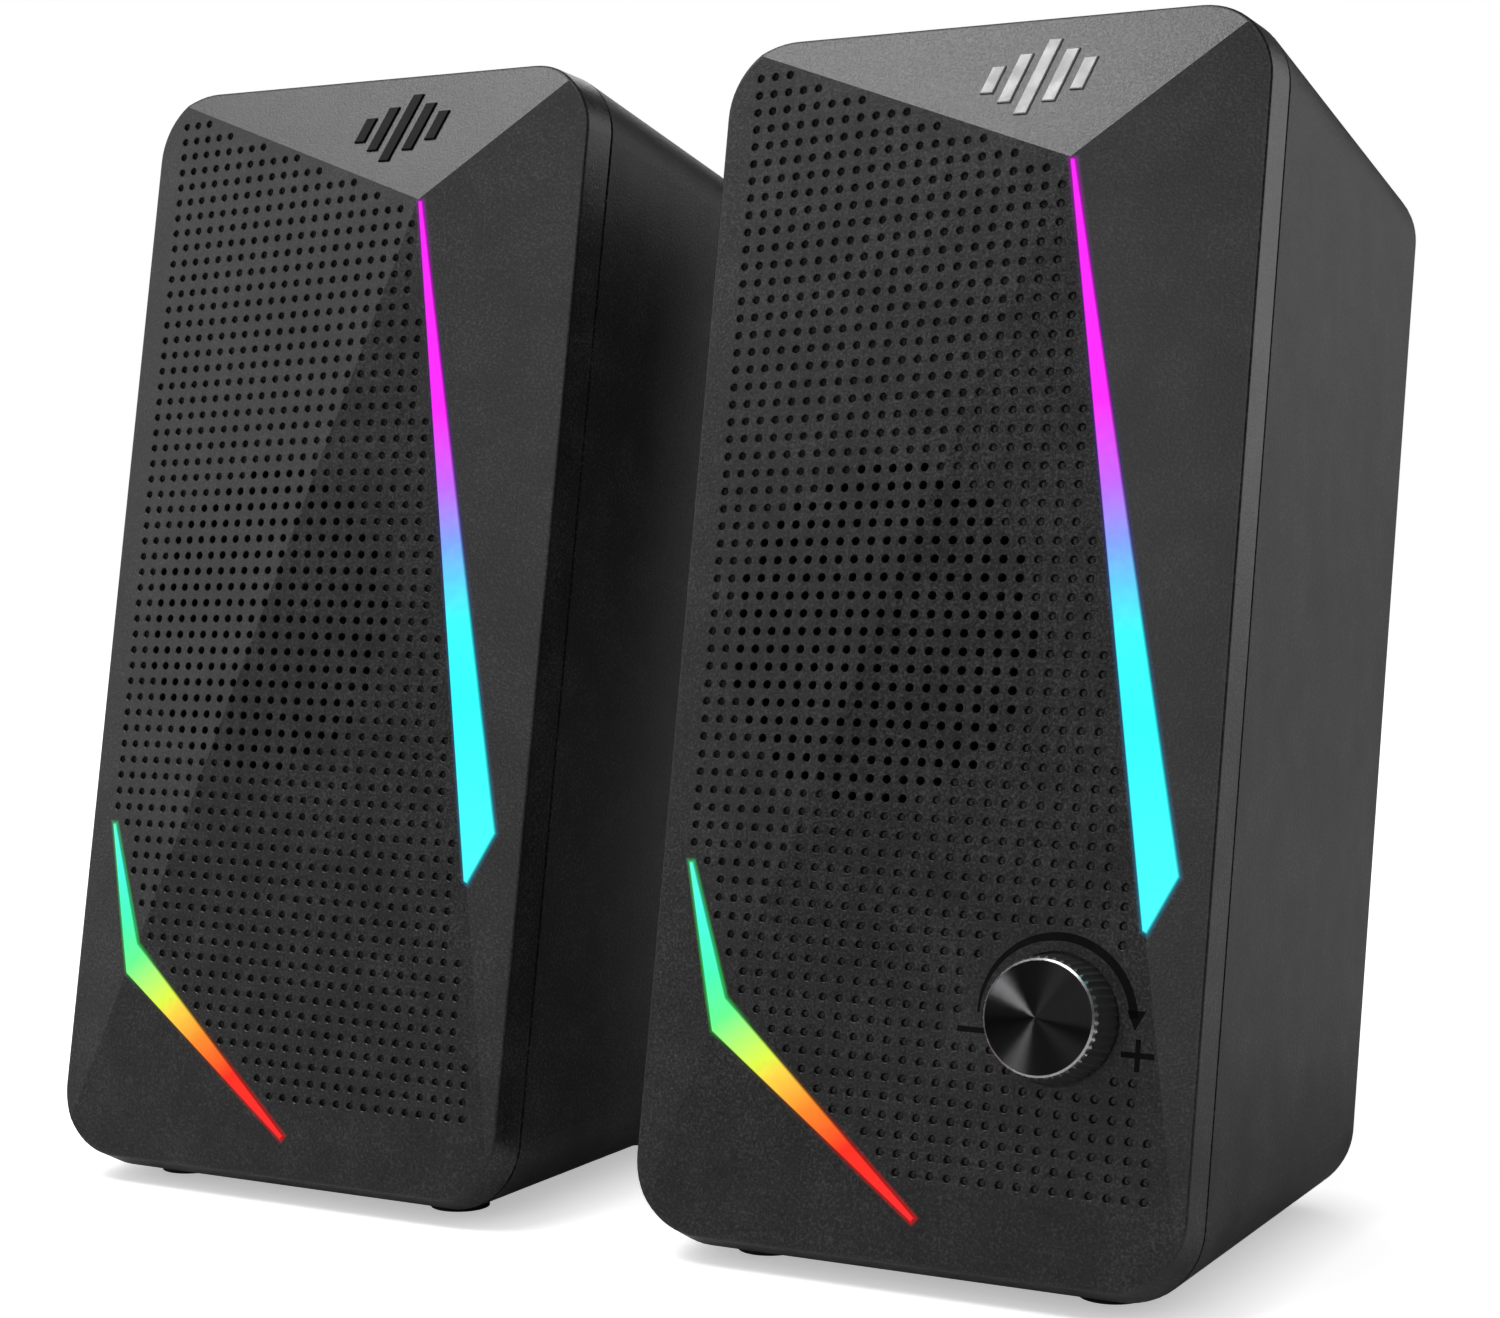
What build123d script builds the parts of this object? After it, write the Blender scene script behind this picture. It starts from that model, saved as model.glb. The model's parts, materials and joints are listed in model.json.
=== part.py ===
from build123d import *
import os
from math import cos, hypot, pi, radians, sin, tan

# A pair of desktop speakers that lean back on their feet. The right one holds the amplifier and the
# volume knob, the left one is driven from it. Millimetres, +X right, +Y back, +Z up.
#
# Each speaker is drawn in its own leaned frame and stood up at the end. In that frame x runs across
# the face, y runs into the box, z runs up the face, y = 0 is the plane of the face's four edges, and
# z = 0 is its bottom edge.

# ---- the case -------------------------------------------------------------------------------
SPACING = 117.2          # centre to centre of the two speakers
LEAN = 10.5              # degrees the face leans back; the underside stays level
FACE_W = 90.8
FACE_H = 190.4
FACE_R = 11.8            # corner radius of the face
APEX = (17.5, -7.05, 166.2)  # where the four facets meet, in front of the face plane
SKIN = 2.4               # thickness of the faceted front
BEZEL_Y = 6.7            # depth of the front panel's side
BEZEL_OUT = 0.55         # how far that side widens towards the parting line
BEZEL_UP = 0.45
BEZEL_DROP = 1.65
RIM_WALL = 3.9
PARTING_GAP = 0.4
CABINET_BACK = 84.5
CABINET_WALL = 2.5
TOP_FALL = 0.04          # slope of the top towards the back
BACK_EDGE_R = 2.8
TONGUE = 3.0             # length of the lip inside the cabinet's mouth
TONGUE_CLEAR = 0.15
FRONT_LIMIT = -14.0      # in front of everything, for solids that are trimmed to the facets

# ---- perforation and driver -------------------------------------------------------------------
HOLE_PITCH = 2.8
HOLE_R = 0.7
FIRST_HOLE = (-39.56, 184.48)
DRIVER_X = -9.2
DRIVER_Z = 94.8
DRIVER_OPEN_R = 26.2     # holes inside this circle go right through
RING_IN_R = 27.0
RING_OUT_R = 32.4
RING_BACK = 4.5          # plane the driver's gasket seats on
GASKET_T = 1.5
FLANGE_T = 1.2
FLANGE_R = 31.5
FLANGE_SCREW_R = 29.2    # radius of the screw circle
DRIVER_SCREWS = 4
DRIVER_SCREW_R = 1.0
CONE_R = 22.2
CAP_R = 8.6
CAP_FRONT = 11.4
CAP_RISE = 2.4
CAP_T = 0.35
FORMER_R = 7.2
COIL_R = 7.6
GAP_R = 7.95
POLE_R = 6.65
PLATE_R = 19.0
MAGNET_R = 21.5
LEDGE_Y = 17.0           # plane the spider is glued to
PLATE_FRONT = 22.6
PLATE_T = 3.0
MAGNET_T = 9.0
BASKET_WINDOWS = 6

# ---- light bars, emblem -------------------------------------------------------------------------
LONG_BAR = [(17.5, 165.9), (18.3, 165.9), (40.8, 60.6), (36.85, 52.0), (36.15, 52.4)]
SHORT_BAR = [(-40.15, 58.2), (-39.3, 58.2), (-30.95, 37.35), (3.35, 7.35), (2.75, 6.6), (-33.05, 32.05)]
LENS_PROUD = 0.25
LENS_LIP = 0.8           # width and thickness of the lip behind the skin
LENS_CLEAR = 0.05
LED_GAP = 3.4            # from the lens lip to the light board
BOARD_T = 1.0
LED_SIZE = 2.4
LED_T = 0.9
LED_STEP = 9.0
BOARD_HALF_W = 2.6
LONG_RUN = [(20.4, 155.0), (38.0, 63.0)]
SHORT_RUN = [(-38.2, 54.0), (-33.2, 38.2), (-27.0, 31.4), (-3.5, 12.0)]
EMBLEM_CENTRE = (9.6, 180.3)
EMBLEM_HEIGHTS = [4.6, 8.2, 12.6, 8.8, 5.4]
EMBLEM_BAR_W = 2.2
EMBLEM_STEP = 3.7
EMBLEM_SLANT = 0.28
EMBLEM_DEPTH = 0.6
EMBLEM_PROUD = 0.35

# ---- volume control (right speaker) -------------------------------------------------------------
KNOB_X = 23.7
KNOB_Z = 38.7
KNOB_SURFACE = APEX[1] * KNOB_Z / APEX[2]
KNOB_H = 7.1             # front of the knob above the facet
KNOB_BASE_R = 9.6
KNOB_FRONT_R = 9.0
KNOB_FACE_R = 8.3
KNOB_CHAMFER = 0.7
KNOB_TEETH = 45
HOLLOW_R = 0.75          # radius of the hollows between the teeth
HOLLOW_DEPTH = 0.3
KNOB_HOLLOW_R = 7.4
KNOB_HUB_R = 4.4
KNOB_HUB_BACK = -4.2     # just in front of the pot's bush
POCKET_R = 9.9
POCKET_FLOOR = -0.9
BUSH_R = 3.5
SHAFT_R = 3.0
POT_W = 16.0
POT_T = 8.0
NUT_T = 2.1

# ---- screws, feet, electronics --------------------------------------------------------------------
CASE_SCREWS = [(37.5, 22.0), (-37.5, 22.0), (37.5, 178.0), (-37.5, 178.0)]
BOSS_R = 3.4
BOSS_BACK = 14.0
TUNNEL_R = 4.4
TUNNEL_BORE_R = 2.9
TUNNEL_FRONT = BOSS_BACK + 0.2
SCREW_SEAT = 3.0
SCREW_R = 1.45
FOOT_R = 5.0
FOOT_T = 3.0
FOOT_PROUD = 2.0
FEET = [(29.0, 16.0), (-29.0, 16.0), (29.0, 72.0), (-29.0, 72.0)]
JACK_R = 1.78            # 3.5 mm plug
JACK_LENGTH = 14.0
JACK_BODY = 9.0
JACK_COLLAR_R = 3.0
JACK_X = 16.0
JACK_Z = 52.0
LINK_X = 4.0
INLET_X = -8.0
SOCKET_MOUTH = CABINET_BACK - 0.3
BOARD_W = 60.0
BOARD_H = 58.0
BOARD_BOTTOM = 44.0
BOARD_FRONT = 68.0
BOARD_THICK = 1.6
STANDOFF_R = 3.0
WIRE_R = 0.6

REST_HEIGHT = (BEZEL_DROP * cos(radians(LEAN)) + BEZEL_Y * sin(radians(LEAN))) + FOOT_PROUD
PLATE_BACK = PLATE_FRONT + PLATE_T
MAGNET_BACK = PLATE_BACK + MAGNET_T
FLANGE_FRONT = RING_BACK + GASKET_T
FLANGE_BACK = FLANGE_FRONT + FLANGE_T
BACK_INNER = CABINET_BACK - CABINET_WALL
BOARD_REAR = BOARD_FRONT + BOARD_THICK
BOARD_MID = BOARD_BOTTOM + BOARD_H / 2
BOARD_HOLES = [(x, z) for x in (-BOARD_W / 2 + 4, BOARD_W / 2 - 4)
               for z in (BOARD_BOTTOM + 4, BOARD_BOTTOM + BOARD_H - 4)]
LEFT_STANDOFFS = [(JACK_X - 7, JACK_Z + 13), (JACK_X + 7, JACK_Z + 13)]
LED_BOARD_Y = SKIN + LENS_LIP + LED_GAP
KNOB_FRONT = KNOB_SURFACE - KNOB_H
KNOB_BACK = POCKET_FLOOR - 0.25
SHAFT_FRONT = KNOB_FRONT + 1.8


# ---- helpers ----------------------------------------------------------------------------------
def depth_plane(y):
    """Sketch plane parallel to the face at depth y; its own x and y are x and z."""
    return Plane.XZ.offset(-y)


def prism(sketch, y0, y1):
    """A flat sketch drawn in (x, z), carried from depth y0 to depth y1."""
    return extrude(depth_plane(y0) * sketch, amount=y1 - y0, dir=(0, 1, 0))


def rod(x, z, radius, y0, y1):
    return prism(Pos(x, z) * Circle(radius), y0, y1)


def block(x, z, width, height, y0, y1):
    return prism(Pos(x, z) * Rectangle(width, height), y0, y1)


def polygon(points):
    return make_face(Polyline(*points, close=True))


def turned(points):
    """A ring or cup turned about the y axis from its (radius, y) outline."""
    return revolve(make_face(Polyline(*points, close=True)), axis=Axis.Y)


def case_outline(y, inset=0.0):
    """Rounded outline of the case at depth y, drawn in by inset."""
    grown = min(y, BEZEL_Y) / BEZEL_Y
    beyond = max(y - BEZEL_Y, 0.0)
    width = FACE_W + 2 * BEZEL_OUT * grown
    top = FACE_H + BEZEL_UP * grown - TOP_FALL * beyond
    bottom = tan(radians(LEAN)) * beyond - BEZEL_DROP * grown
    rounded = RectangleRounded(width - 2 * inset, top - bottom - 2 * inset, FACE_R - inset)
    return depth_plane(y) * (Pos(0, (top + bottom) / 2) * rounded)


def case_block(y0, y1, inset=0.0):
    return loft([case_outline(y0, inset), case_outline(y1, inset)], ruled=True)


def facet_planes(depth):
    """The planes of the four facets, moved back by depth, each facing forwards."""
    half = FACE_W / 2
    corners = [(-half, FACE_H), (half, FACE_H), (half, 0.0), (-half, 0.0)]
    planes = []
    for (x0, z0), (x1, z1) in zip(corners, corners[1:] + corners[:1]):
        edge = Vector(x1 - x0, 0, z1 - z0)
        normal = edge.cross(Vector(*APEX) - Vector(x0, 0, z0))
        normal = normal if normal.Y < 0 else normal * -1
        planes.append(Plane(origin=(x0, depth, z0), x_dir=edge, z_dir=normal))
    return planes


def behind(solid, depth):
    """What lies behind the faceted front once that is moved back by depth."""
    for plane in facet_planes(depth):
        solid = split(solid, bisect_by=plane, keep=Keep.BOTTOM)
    return solid


def layer(sketch, front, back):
    """A plate of the sketch's shape that follows the facets from depth front to depth back."""
    whole = prism(sketch, FRONT_LIMIT, back + 6.0)
    return behind(whole, front) - behind(whole, back)


def grown(points, margin):
    return offset(polygon(points), amount=margin, kind=Kind.ARC)


def polar(count, radius, turn=0.0):
    return [(radius * cos(turn + 2 * pi * i / count), radius * sin(turn + 2 * pi * i / count))
            for i in range(count)]


def driver_holes():
    """Centres of the holes that open onto the driver."""
    centres = []
    for column in range(29):
        for row in range(62):
            x = FIRST_HOLE[0] + column * HOLE_PITCH
            z = FIRST_HOLE[1] - row * HOLE_PITCH
            if hypot(x - DRIVER_X, z - DRIVER_Z) < DRIVER_OPEN_R:
                centres.append((x, z))
    return centres


# ---- case pieces ----------------------------------------------------------------------------------
def emblem_bar(height, x, margin=0.0):
    """One slanted bar of the mark, as a sketch."""
    half = EMBLEM_BAR_W / 2 + margin
    up = height / 2 + margin
    lean = EMBLEM_SLANT * up
    cx, cz = EMBLEM_CENTRE[0] + x, EMBLEM_CENTRE[1]
    corners = [(-half - lean, -up), (half - lean, -up), (half + lean, up), (-half + lean, up)]
    return polygon([(cx + dx, cz + dz) for dx, dz in corners])


def emblem_sketches(margin=0.0):
    middle = (len(EMBLEM_HEIGHTS) - 1) / 2
    return [emblem_bar(h, (i - middle) * EMBLEM_STEP, margin) for i, h in enumerate(EMBLEM_HEIGHTS)]


def front_panel(with_knob):
    """Faceted front: skin, side wall, lip, driver ring, screw bosses, slots and holes."""
    panel = behind(case_block(FRONT_LIMIT, BEZEL_Y), 0.0)
    panel -= behind(case_block(FRONT_LIMIT, BEZEL_Y + 1, RIM_WALL), SKIN)
    lip = case_block(BEZEL_Y, BEZEL_Y + TONGUE, CABINET_WALL + TONGUE_CLEAR)
    panel += lip - case_block(BEZEL_Y, BEZEL_Y + TONGUE, RIM_WALL)
    ring = rod(DRIVER_X, DRIVER_Z, RING_OUT_R, FRONT_LIMIT, RING_BACK)
    ring -= rod(DRIVER_X, DRIVER_Z, RING_IN_R, FRONT_LIMIT, RING_BACK)
    panel += behind(ring, SKIN / 2)
    for x, z in CASE_SCREWS:
        panel += behind(rod(x, z, BOSS_R, FRONT_LIMIT, BOSS_BACK), SKIN / 2)
    for x, z in CASE_SCREWS:
        panel -= rod(x, z, SCREW_R + 0.05, BOSS_BACK - 8.0, BOSS_BACK)
    for x, z in polar(DRIVER_SCREWS, FLANGE_SCREW_R, pi / 4):
        panel -= rod(DRIVER_X + x, DRIVER_Z + z, DRIVER_SCREW_R + 0.05, RING_BACK - 3.6, RING_BACK)
    for bar in (LONG_BAR, SHORT_BAR):
        panel -= prism(grown(bar, LENS_CLEAR), FRONT_LIMIT, BEZEL_Y)
    for bar in emblem_sketches(0.08):
        panel -= layer(bar, -1.0, EMBLEM_DEPTH)
    if with_knob:
        panel -= rod(KNOB_X, KNOB_Z, POCKET_R, FRONT_LIMIT, POCKET_FLOOR)
        panel -= rod(KNOB_X, KNOB_Z, BUSH_R + 0.1, FRONT_LIMIT, BEZEL_Y)
    holes = [rod(x, z, HOLE_R, FRONT_LIMIT, RING_BACK) for x, z in driver_holes()]
    return panel.cut(*[hole.solid() for hole in holes])


def cabinet(openings, standoffs):
    """Rear shell with its screw tunnels, and the openings and standoffs of one speaker."""
    mouth = BEZEL_Y + PARTING_GAP
    shell = case_block(mouth, CABINET_BACK)
    shell = fillet(shell.faces().sort_by(Axis.Y)[-1].edges(), BACK_EDGE_R)
    shell -= case_block(mouth, BACK_INNER, CABINET_WALL)
    for x, z in CASE_SCREWS:
        shell += rod(x, z, TUNNEL_R, TUNNEL_FRONT, BACK_INNER + 0.5)
    for x, z in CASE_SCREWS:
        shell -= rod(x, z, TUNNEL_BORE_R, TUNNEL_FRONT + SCREW_SEAT, CABINET_BACK)
        shell -= rod(x, z, SCREW_R + 0.2, TUNNEL_FRONT, TUNNEL_FRONT + SCREW_SEAT)
    for x, z in standoffs:
        shell += rod(x, z, STANDOFF_R, BOARD_REAR, BACK_INNER + 0.5)
        shell -= rod(x, z, 1.0, BOARD_REAR, BOARD_REAR + 7.0)
    for sketch in openings:
        shell -= prism(sketch, BACK_INNER - 1, CABINET_BACK + 1)
    return shell


def lens(bar):
    """Diffuser: the bar itself through the skin, and a lip that bears on the skin's back."""
    return layer(polygon(bar), -LENS_PROUD, SKIN) + layer(grown(bar, LENS_LIP), SKIN, SKIN + LENS_LIP)


def board_strip(start, end, width=2 * BOARD_HALF_W):
    """Straight strip of a light board between two points of the face."""
    length = hypot(end[0] - start[0], end[1] - start[1])
    ux, uz = (end[0] - start[0]) / length, (end[1] - start[1]) / length
    side = width / 2
    corners = [(start[0] - uz * side, start[1] + ux * side), (end[0] - uz * side, end[1] + ux * side),
               (end[0] + uz * side, end[1] - ux * side), (start[0] + uz * side, start[1] - ux * side)]
    return polygon(corners)


def light_board(run):
    """Circuit board behind a lens, parallel to its facet."""
    strips = [board_strip(a, b) for a, b in zip(run, run[1:])]
    joints = [Pos(x, z) * Circle(BOARD_HALF_W) for x, z in run[1:-1]]
    outline = strips[0]
    for piece in strips[1:] + joints:
        outline += piece
    return layer(outline, LED_BOARD_Y, LED_BOARD_Y + BOARD_T)


def leds(run):
    """The row of light packages on a board."""
    pieces = []
    for (x0, z0), (x1, z1) in zip(run[::2], run[1::2]):
        count = max(int(hypot(x1 - x0, z1 - z0) / LED_STEP), 1)
        for i in range(count):
            t = (i + 0.5) / count
            spot = Pos(x0 + t * (x1 - x0), z0 + t * (z1 - z0)) * Rectangle(LED_SIZE, LED_SIZE)
            pieces.append(layer(spot, LED_BOARD_Y - LED_T, LED_BOARD_Y))
    return pieces


def emblem():
    return [layer(bar, -EMBLEM_PROUD, EMBLEM_DEPTH) for bar in emblem_sketches()]


def screw(x, z, head_y, shank_y, shank_r, head_r, head_t):
    """Cross-recessed pan-head screw driven forwards: head at head_y, point at shank_y."""
    body = rod(x, z, shank_r, shank_y, head_y) + rod(x, z, head_r, head_y, head_y + head_t)
    slot = Rectangle(head_r * 1.1, head_r * 0.25) + Rectangle(head_r * 0.25, head_r * 1.1)
    return body - prism(Pos(x, z) * slot, head_y + head_t * 0.4, head_y + head_t)


def case_screws():
    seat = TUNNEL_FRONT + SCREW_SEAT
    return [screw(x, z, seat, BOSS_BACK - 7.5, SCREW_R, 2.6, 2.0) for x, z in CASE_SCREWS]


# ---- driver -----------------------------------------------------------------------------------------
def at_driver(solid):
    return Pos(DRIVER_X, 0, DRIVER_Z) * solid


def driver_gasket():
    inside = RING_IN_R - 0.1
    ring = turned([(inside, RING_BACK), (FLANGE_R, RING_BACK), (FLANGE_R, FLANGE_FRONT),
                   (inside, FLANGE_FRONT)])
    for x, z in polar(DRIVER_SCREWS, FLANGE_SCREW_R, pi / 4):
        ring -= rod(x, z, DRIVER_SCREW_R + 0.2, RING_BACK, FLANGE_FRONT)
    return at_driver(ring)


def driver_basket():
    """Pressed frame: flange, sloping wall with windows, spider ledge and the seat of the top plate."""
    back = PLATE_FRONT
    outside = [(FLANGE_R, FLANGE_FRONT), (FLANGE_R, FLANGE_BACK), (26.6, FLANGE_BACK), (21.8, LEDGE_Y),
               (20.8, back)]
    seat = [(11.0, back), (11.0, back - FLANGE_T), (19.7, back - FLANGE_T), (20.3, LEDGE_Y + FLANGE_T)]
    ledge = [(17.6, LEDGE_Y + FLANGE_T), (17.6, LEDGE_Y), (20.5, LEDGE_Y)]
    inside = [(25.0, FLANGE_BACK), (24.6, FLANGE_BACK), (24.6, FLANGE_FRONT)]
    frame = turned(outside + seat + ledge + inside)
    for i in range(BASKET_WINDOWS):
        window = Pos(0, 12.2, 23.5) * Box(13.0, 7.0, 9.0)
        frame -= Rot(Y=360 / BASKET_WINDOWS * (i + 0.5)) * window
    for x, z in polar(DRIVER_SCREWS, FLANGE_SCREW_R, pi / 4):
        frame -= rod(x, z, DRIVER_SCREW_R + 0.2, FLANGE_FRONT, FLANGE_BACK)
    return at_driver(frame)


def driver_cone():
    return at_driver(turned([(7.25, 15.7), (7.25, 15.1), (21.2, 6.35), (CONE_R, 6.35), (CONE_R, 6.85),
                             (21.5, 6.85), (7.9, 15.7)]))


def driver_dust_cap():
    """Shallow dome glued over the coil's mouth."""
    sphere_r = (CAP_R ** 2 + CAP_RISE ** 2) / (2 * CAP_RISE)
    shell = Pos(0, CAP_FRONT + sphere_r, 0) * (Sphere(sphere_r) - Sphere(sphere_r - CAP_T))
    return at_driver(shell & rod(0, 0, CAP_R, CAP_FRONT - 1, CAP_FRONT + CAP_RISE + 1))


def driver_surround():
    """Half-roll rubber edge between the cone and the flange."""
    middle, roll, wall = 23.6, 1.9, 0.4
    base = FLANGE_FRONT - 0.1
    outer = ThreePointArc((middle - roll, base), (middle, base - roll), (middle + roll, base))
    low, high = middle - roll + wall, middle + roll - wall
    inner = ThreePointArc((high, base), (middle, base - roll + wall), (low, base))
    lip_out = Polyline(outer @ 1, (26.6, base - wall), (26.6, base + 0.1), (high, base + 0.1), inner @ 0)
    lip_in = Polyline(inner @ 1, (low, base + wall), (20.9, base + wall), (20.9, base), outer @ 0)
    return at_driver(revolve(make_face(Curve() + [outer, lip_out, inner, lip_in]), axis=Axis.Y))


def driver_spider():
    """Corrugated cloth ring that centres the coil."""
    front, back = [], []
    waves, start, end, height, level, wall = 5, 7.3, 17.0, 0.7, 16.85, 0.35
    for i in range(2 * waves + 1):
        r = start + 0.7 + (end - start - 0.7) * i / (2 * waves)
        lift = height if i % 2 else -height
        front.append((r, level + lift))
        back.insert(0, (r, level + lift + wall))
    rim = [(19.9, LEDGE_Y - 0.4), (19.9, LEDGE_Y), (17.4, LEDGE_Y)]
    return at_driver(turned([(start, level)] + front + rim + back + [(start, level + wall)]))


def driver_voice_coil():
    """Paper former with the copper winding at its back end."""
    inside, front, winding, back = 7.0, 14.9, 21.4, 27.4
    return at_driver(turned([(inside, front), (FORMER_R, front), (FORMER_R, winding), (COIL_R, winding),
                             (COIL_R, back), (inside, back)]))


def driver_top_plate():
    return at_driver(turned([(GAP_R, PLATE_FRONT), (PLATE_R, PLATE_FRONT), (PLATE_R, PLATE_BACK),
                             (GAP_R, PLATE_BACK)]))


def driver_magnet():
    bevel, bore = 0.6, 11.5
    side = [(MAGNET_R - bevel, PLATE_BACK), (MAGNET_R, PLATE_BACK + bevel), (MAGNET_R, MAGNET_BACK - bevel),
            (MAGNET_R - bevel, MAGNET_BACK)]
    return at_driver(turned([(bore, PLATE_BACK)] + side + [(bore, MAGNET_BACK)]))


def driver_yoke():
    """Back plate with its centre pole."""
    back = MAGNET_BACK + PLATE_T
    pole = [(0, PLATE_FRONT), (POLE_R, PLATE_FRONT), (POLE_R, MAGNET_BACK)]
    return at_driver(turned(pole + [(PLATE_R, MAGNET_BACK), (PLATE_R, back), (0, back)]))


def driver_screws():
    return [at_driver(screw(x, z, FLANGE_BACK, RING_BACK - 3.2, DRIVER_SCREW_R, 1.9, 1.3))
            for x, z in polar(DRIVER_SCREWS, FLANGE_SCREW_R, pi / 4)]


def driver_terminals():
    """Tag strip behind the flange with its two solder tags."""
    z = DRIVER_Z - FLANGE_SCREW_R
    strip = block(DRIVER_X, z, 9.0, 3.4, FLANGE_BACK, FLANGE_BACK + 1.6)
    tags = [block(DRIVER_X + s * 2.6, z, 1.6, 0.5, FLANGE_BACK + 1.6, FLANGE_BACK + 5.0) for s in (-1, 1)]
    return [strip] + tags


def driver_leads(end_x, end_z):
    """Two insulated wires from the tags to the connections at the back."""
    wires = []
    tag_y = FLANGE_BACK + 5.05
    tag_z = DRIVER_Z - FLANGE_SCREW_R
    for side in (-1, 1):
        start_x = DRIVER_X + side * 2.6
        last_x = end_x + side * 2.0
        leave = [(start_x, tag_y, tag_z), (start_x, tag_y + 12, tag_z - 2), (last_x, 40, tag_z - 8)]
        arrive = [(last_x, BOARD_FRONT - 12, end_z), (last_x, BOARD_FRONT - 0.05, end_z)]
        route = FilletPolyline(*leave, *arrive, radius=4.0)
        wires.append(sweep(Plane(origin=route @ 0, z_dir=route % 0) * Circle(WIRE_R), path=route))
    return wires


# ---- electronics and volume control ---------------------------------------------------------------------
def jack(x, z):
    """3.5 mm socket: square body inside, round collar through the back wall, open bore."""
    body = block(x, z, JACK_BODY, JACK_BODY, BOARD_REAR, BACK_INNER - 0.05)
    collar = rod(x, z, JACK_COLLAR_R, BACK_INNER - 0.05, SOCKET_MOUTH)
    return body + collar - rod(x, z, JACK_R, SOCKET_MOUTH - JACK_LENGTH, SOCKET_MOUTH)


def jack_opening(x, z):
    return Pos(x, z) * Circle(JACK_COLLAR_R + 0.1)


def power_inlet(x, z):
    """Small reversible power socket: shell with a centre tongue."""
    floor = BOARD_REAR + 7.0
    shell = prism(Pos(x, z) * SlotOverall(8.9, 3.2), BOARD_REAR, SOCKET_MOUTH)
    shell -= prism(Pos(x, z) * SlotOverall(8.3, 2.6), floor, SOCKET_MOUTH)
    return shell + block(x, z, 6.6, 0.7, floor - 0.1, SOCKET_MOUTH - 1.5)


def inlet_opening(x, z):
    return Pos(x, z) * SlotOverall(9.1, 3.4)


def amplifier_board():
    board = prism(Pos(0, BOARD_MID) * RectangleRounded(BOARD_W, BOARD_H, 2.0), BOARD_FRONT, BOARD_REAR)
    for x, z in BOARD_HOLES:
        board -= rod(x, z, 1.3, BOARD_FRONT, BOARD_REAR)
    return board


def board_screws():
    pieces = []
    for x, z in BOARD_HOLES:
        head = rod(x, z, 2.2, BOARD_FRONT - 1.5, BOARD_FRONT)
        head -= block(x, z, 2.6, 0.6, BOARD_FRONT - 1.5, BOARD_FRONT - 0.7)
        pieces.append(head + rod(x, z, 0.95, BOARD_FRONT, BOARD_REAR + 5.5))
    return pieces


def amplifier_heatsink():
    """Finned block on the amplifier chip."""
    base = block(0, BOARD_MID + 8, 22, 16, BOARD_FRONT - 5.0, BOARD_FRONT - 3.0)
    for i in range(6):
        base += block(-9.5 + i * 3.8, BOARD_MID + 8, 1.2, 16, BOARD_FRONT - 12.0, BOARD_FRONT - 5.0)
    return base


def amplifier_components():
    """Amplifier chip, light driver chip and three supply capacitors."""
    main_chip = block(0, BOARD_MID + 8, 12, 12, BOARD_FRONT - 3.0, BOARD_FRONT)
    light_chip = block(16, BOARD_MID - 10, 7, 5, BOARD_FRONT - 1.6, BOARD_FRONT)
    spots = [(-20, BOARD_MID + 12), (-20, BOARD_MID), (20, BOARD_MID + 14)]
    return [main_chip, light_chip] + [rod(x, z, 4.0, BOARD_FRONT - 12.0, BOARD_FRONT) for x, z in spots]


def pot_body():
    """Rotary control: square case, threaded bush through the panel, clear bore for the shaft."""
    inner = KNOB_SURFACE + SKIN + 0.35
    case = block(KNOB_X, KNOB_Z, POT_W, POT_W, inner, inner + POT_T)
    bush = rod(KNOB_X, KNOB_Z, BUSH_R, POCKET_FLOOR - 3.0, inner)
    return case + bush - rod(KNOB_X, KNOB_Z, SHAFT_R + 0.05, POCKET_FLOOR - 3.0, inner + 3.0)


def pot_nut():
    hexagon = Pos(KNOB_X, KNOB_Z) * RegularPolygon(radius=5.0, side_count=6, major_radius=False)
    nut = prism(hexagon, POCKET_FLOOR - NUT_T, POCKET_FLOOR)
    return nut - rod(KNOB_X, KNOB_Z, BUSH_R + 0.02, POCKET_FLOOR - NUT_T, POCKET_FLOOR)


def pot_shaft():
    """Round shaft with a flat at its front end."""
    shaft = rod(KNOB_X, KNOB_Z, SHAFT_R, SHAFT_FRONT, KNOB_SURFACE + SKIN + 3.0)
    return shaft - block(KNOB_X, KNOB_Z + 2.5, 7.0, 2.0, SHAFT_FRONT, KNOB_HUB_BACK - 0.1)


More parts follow.
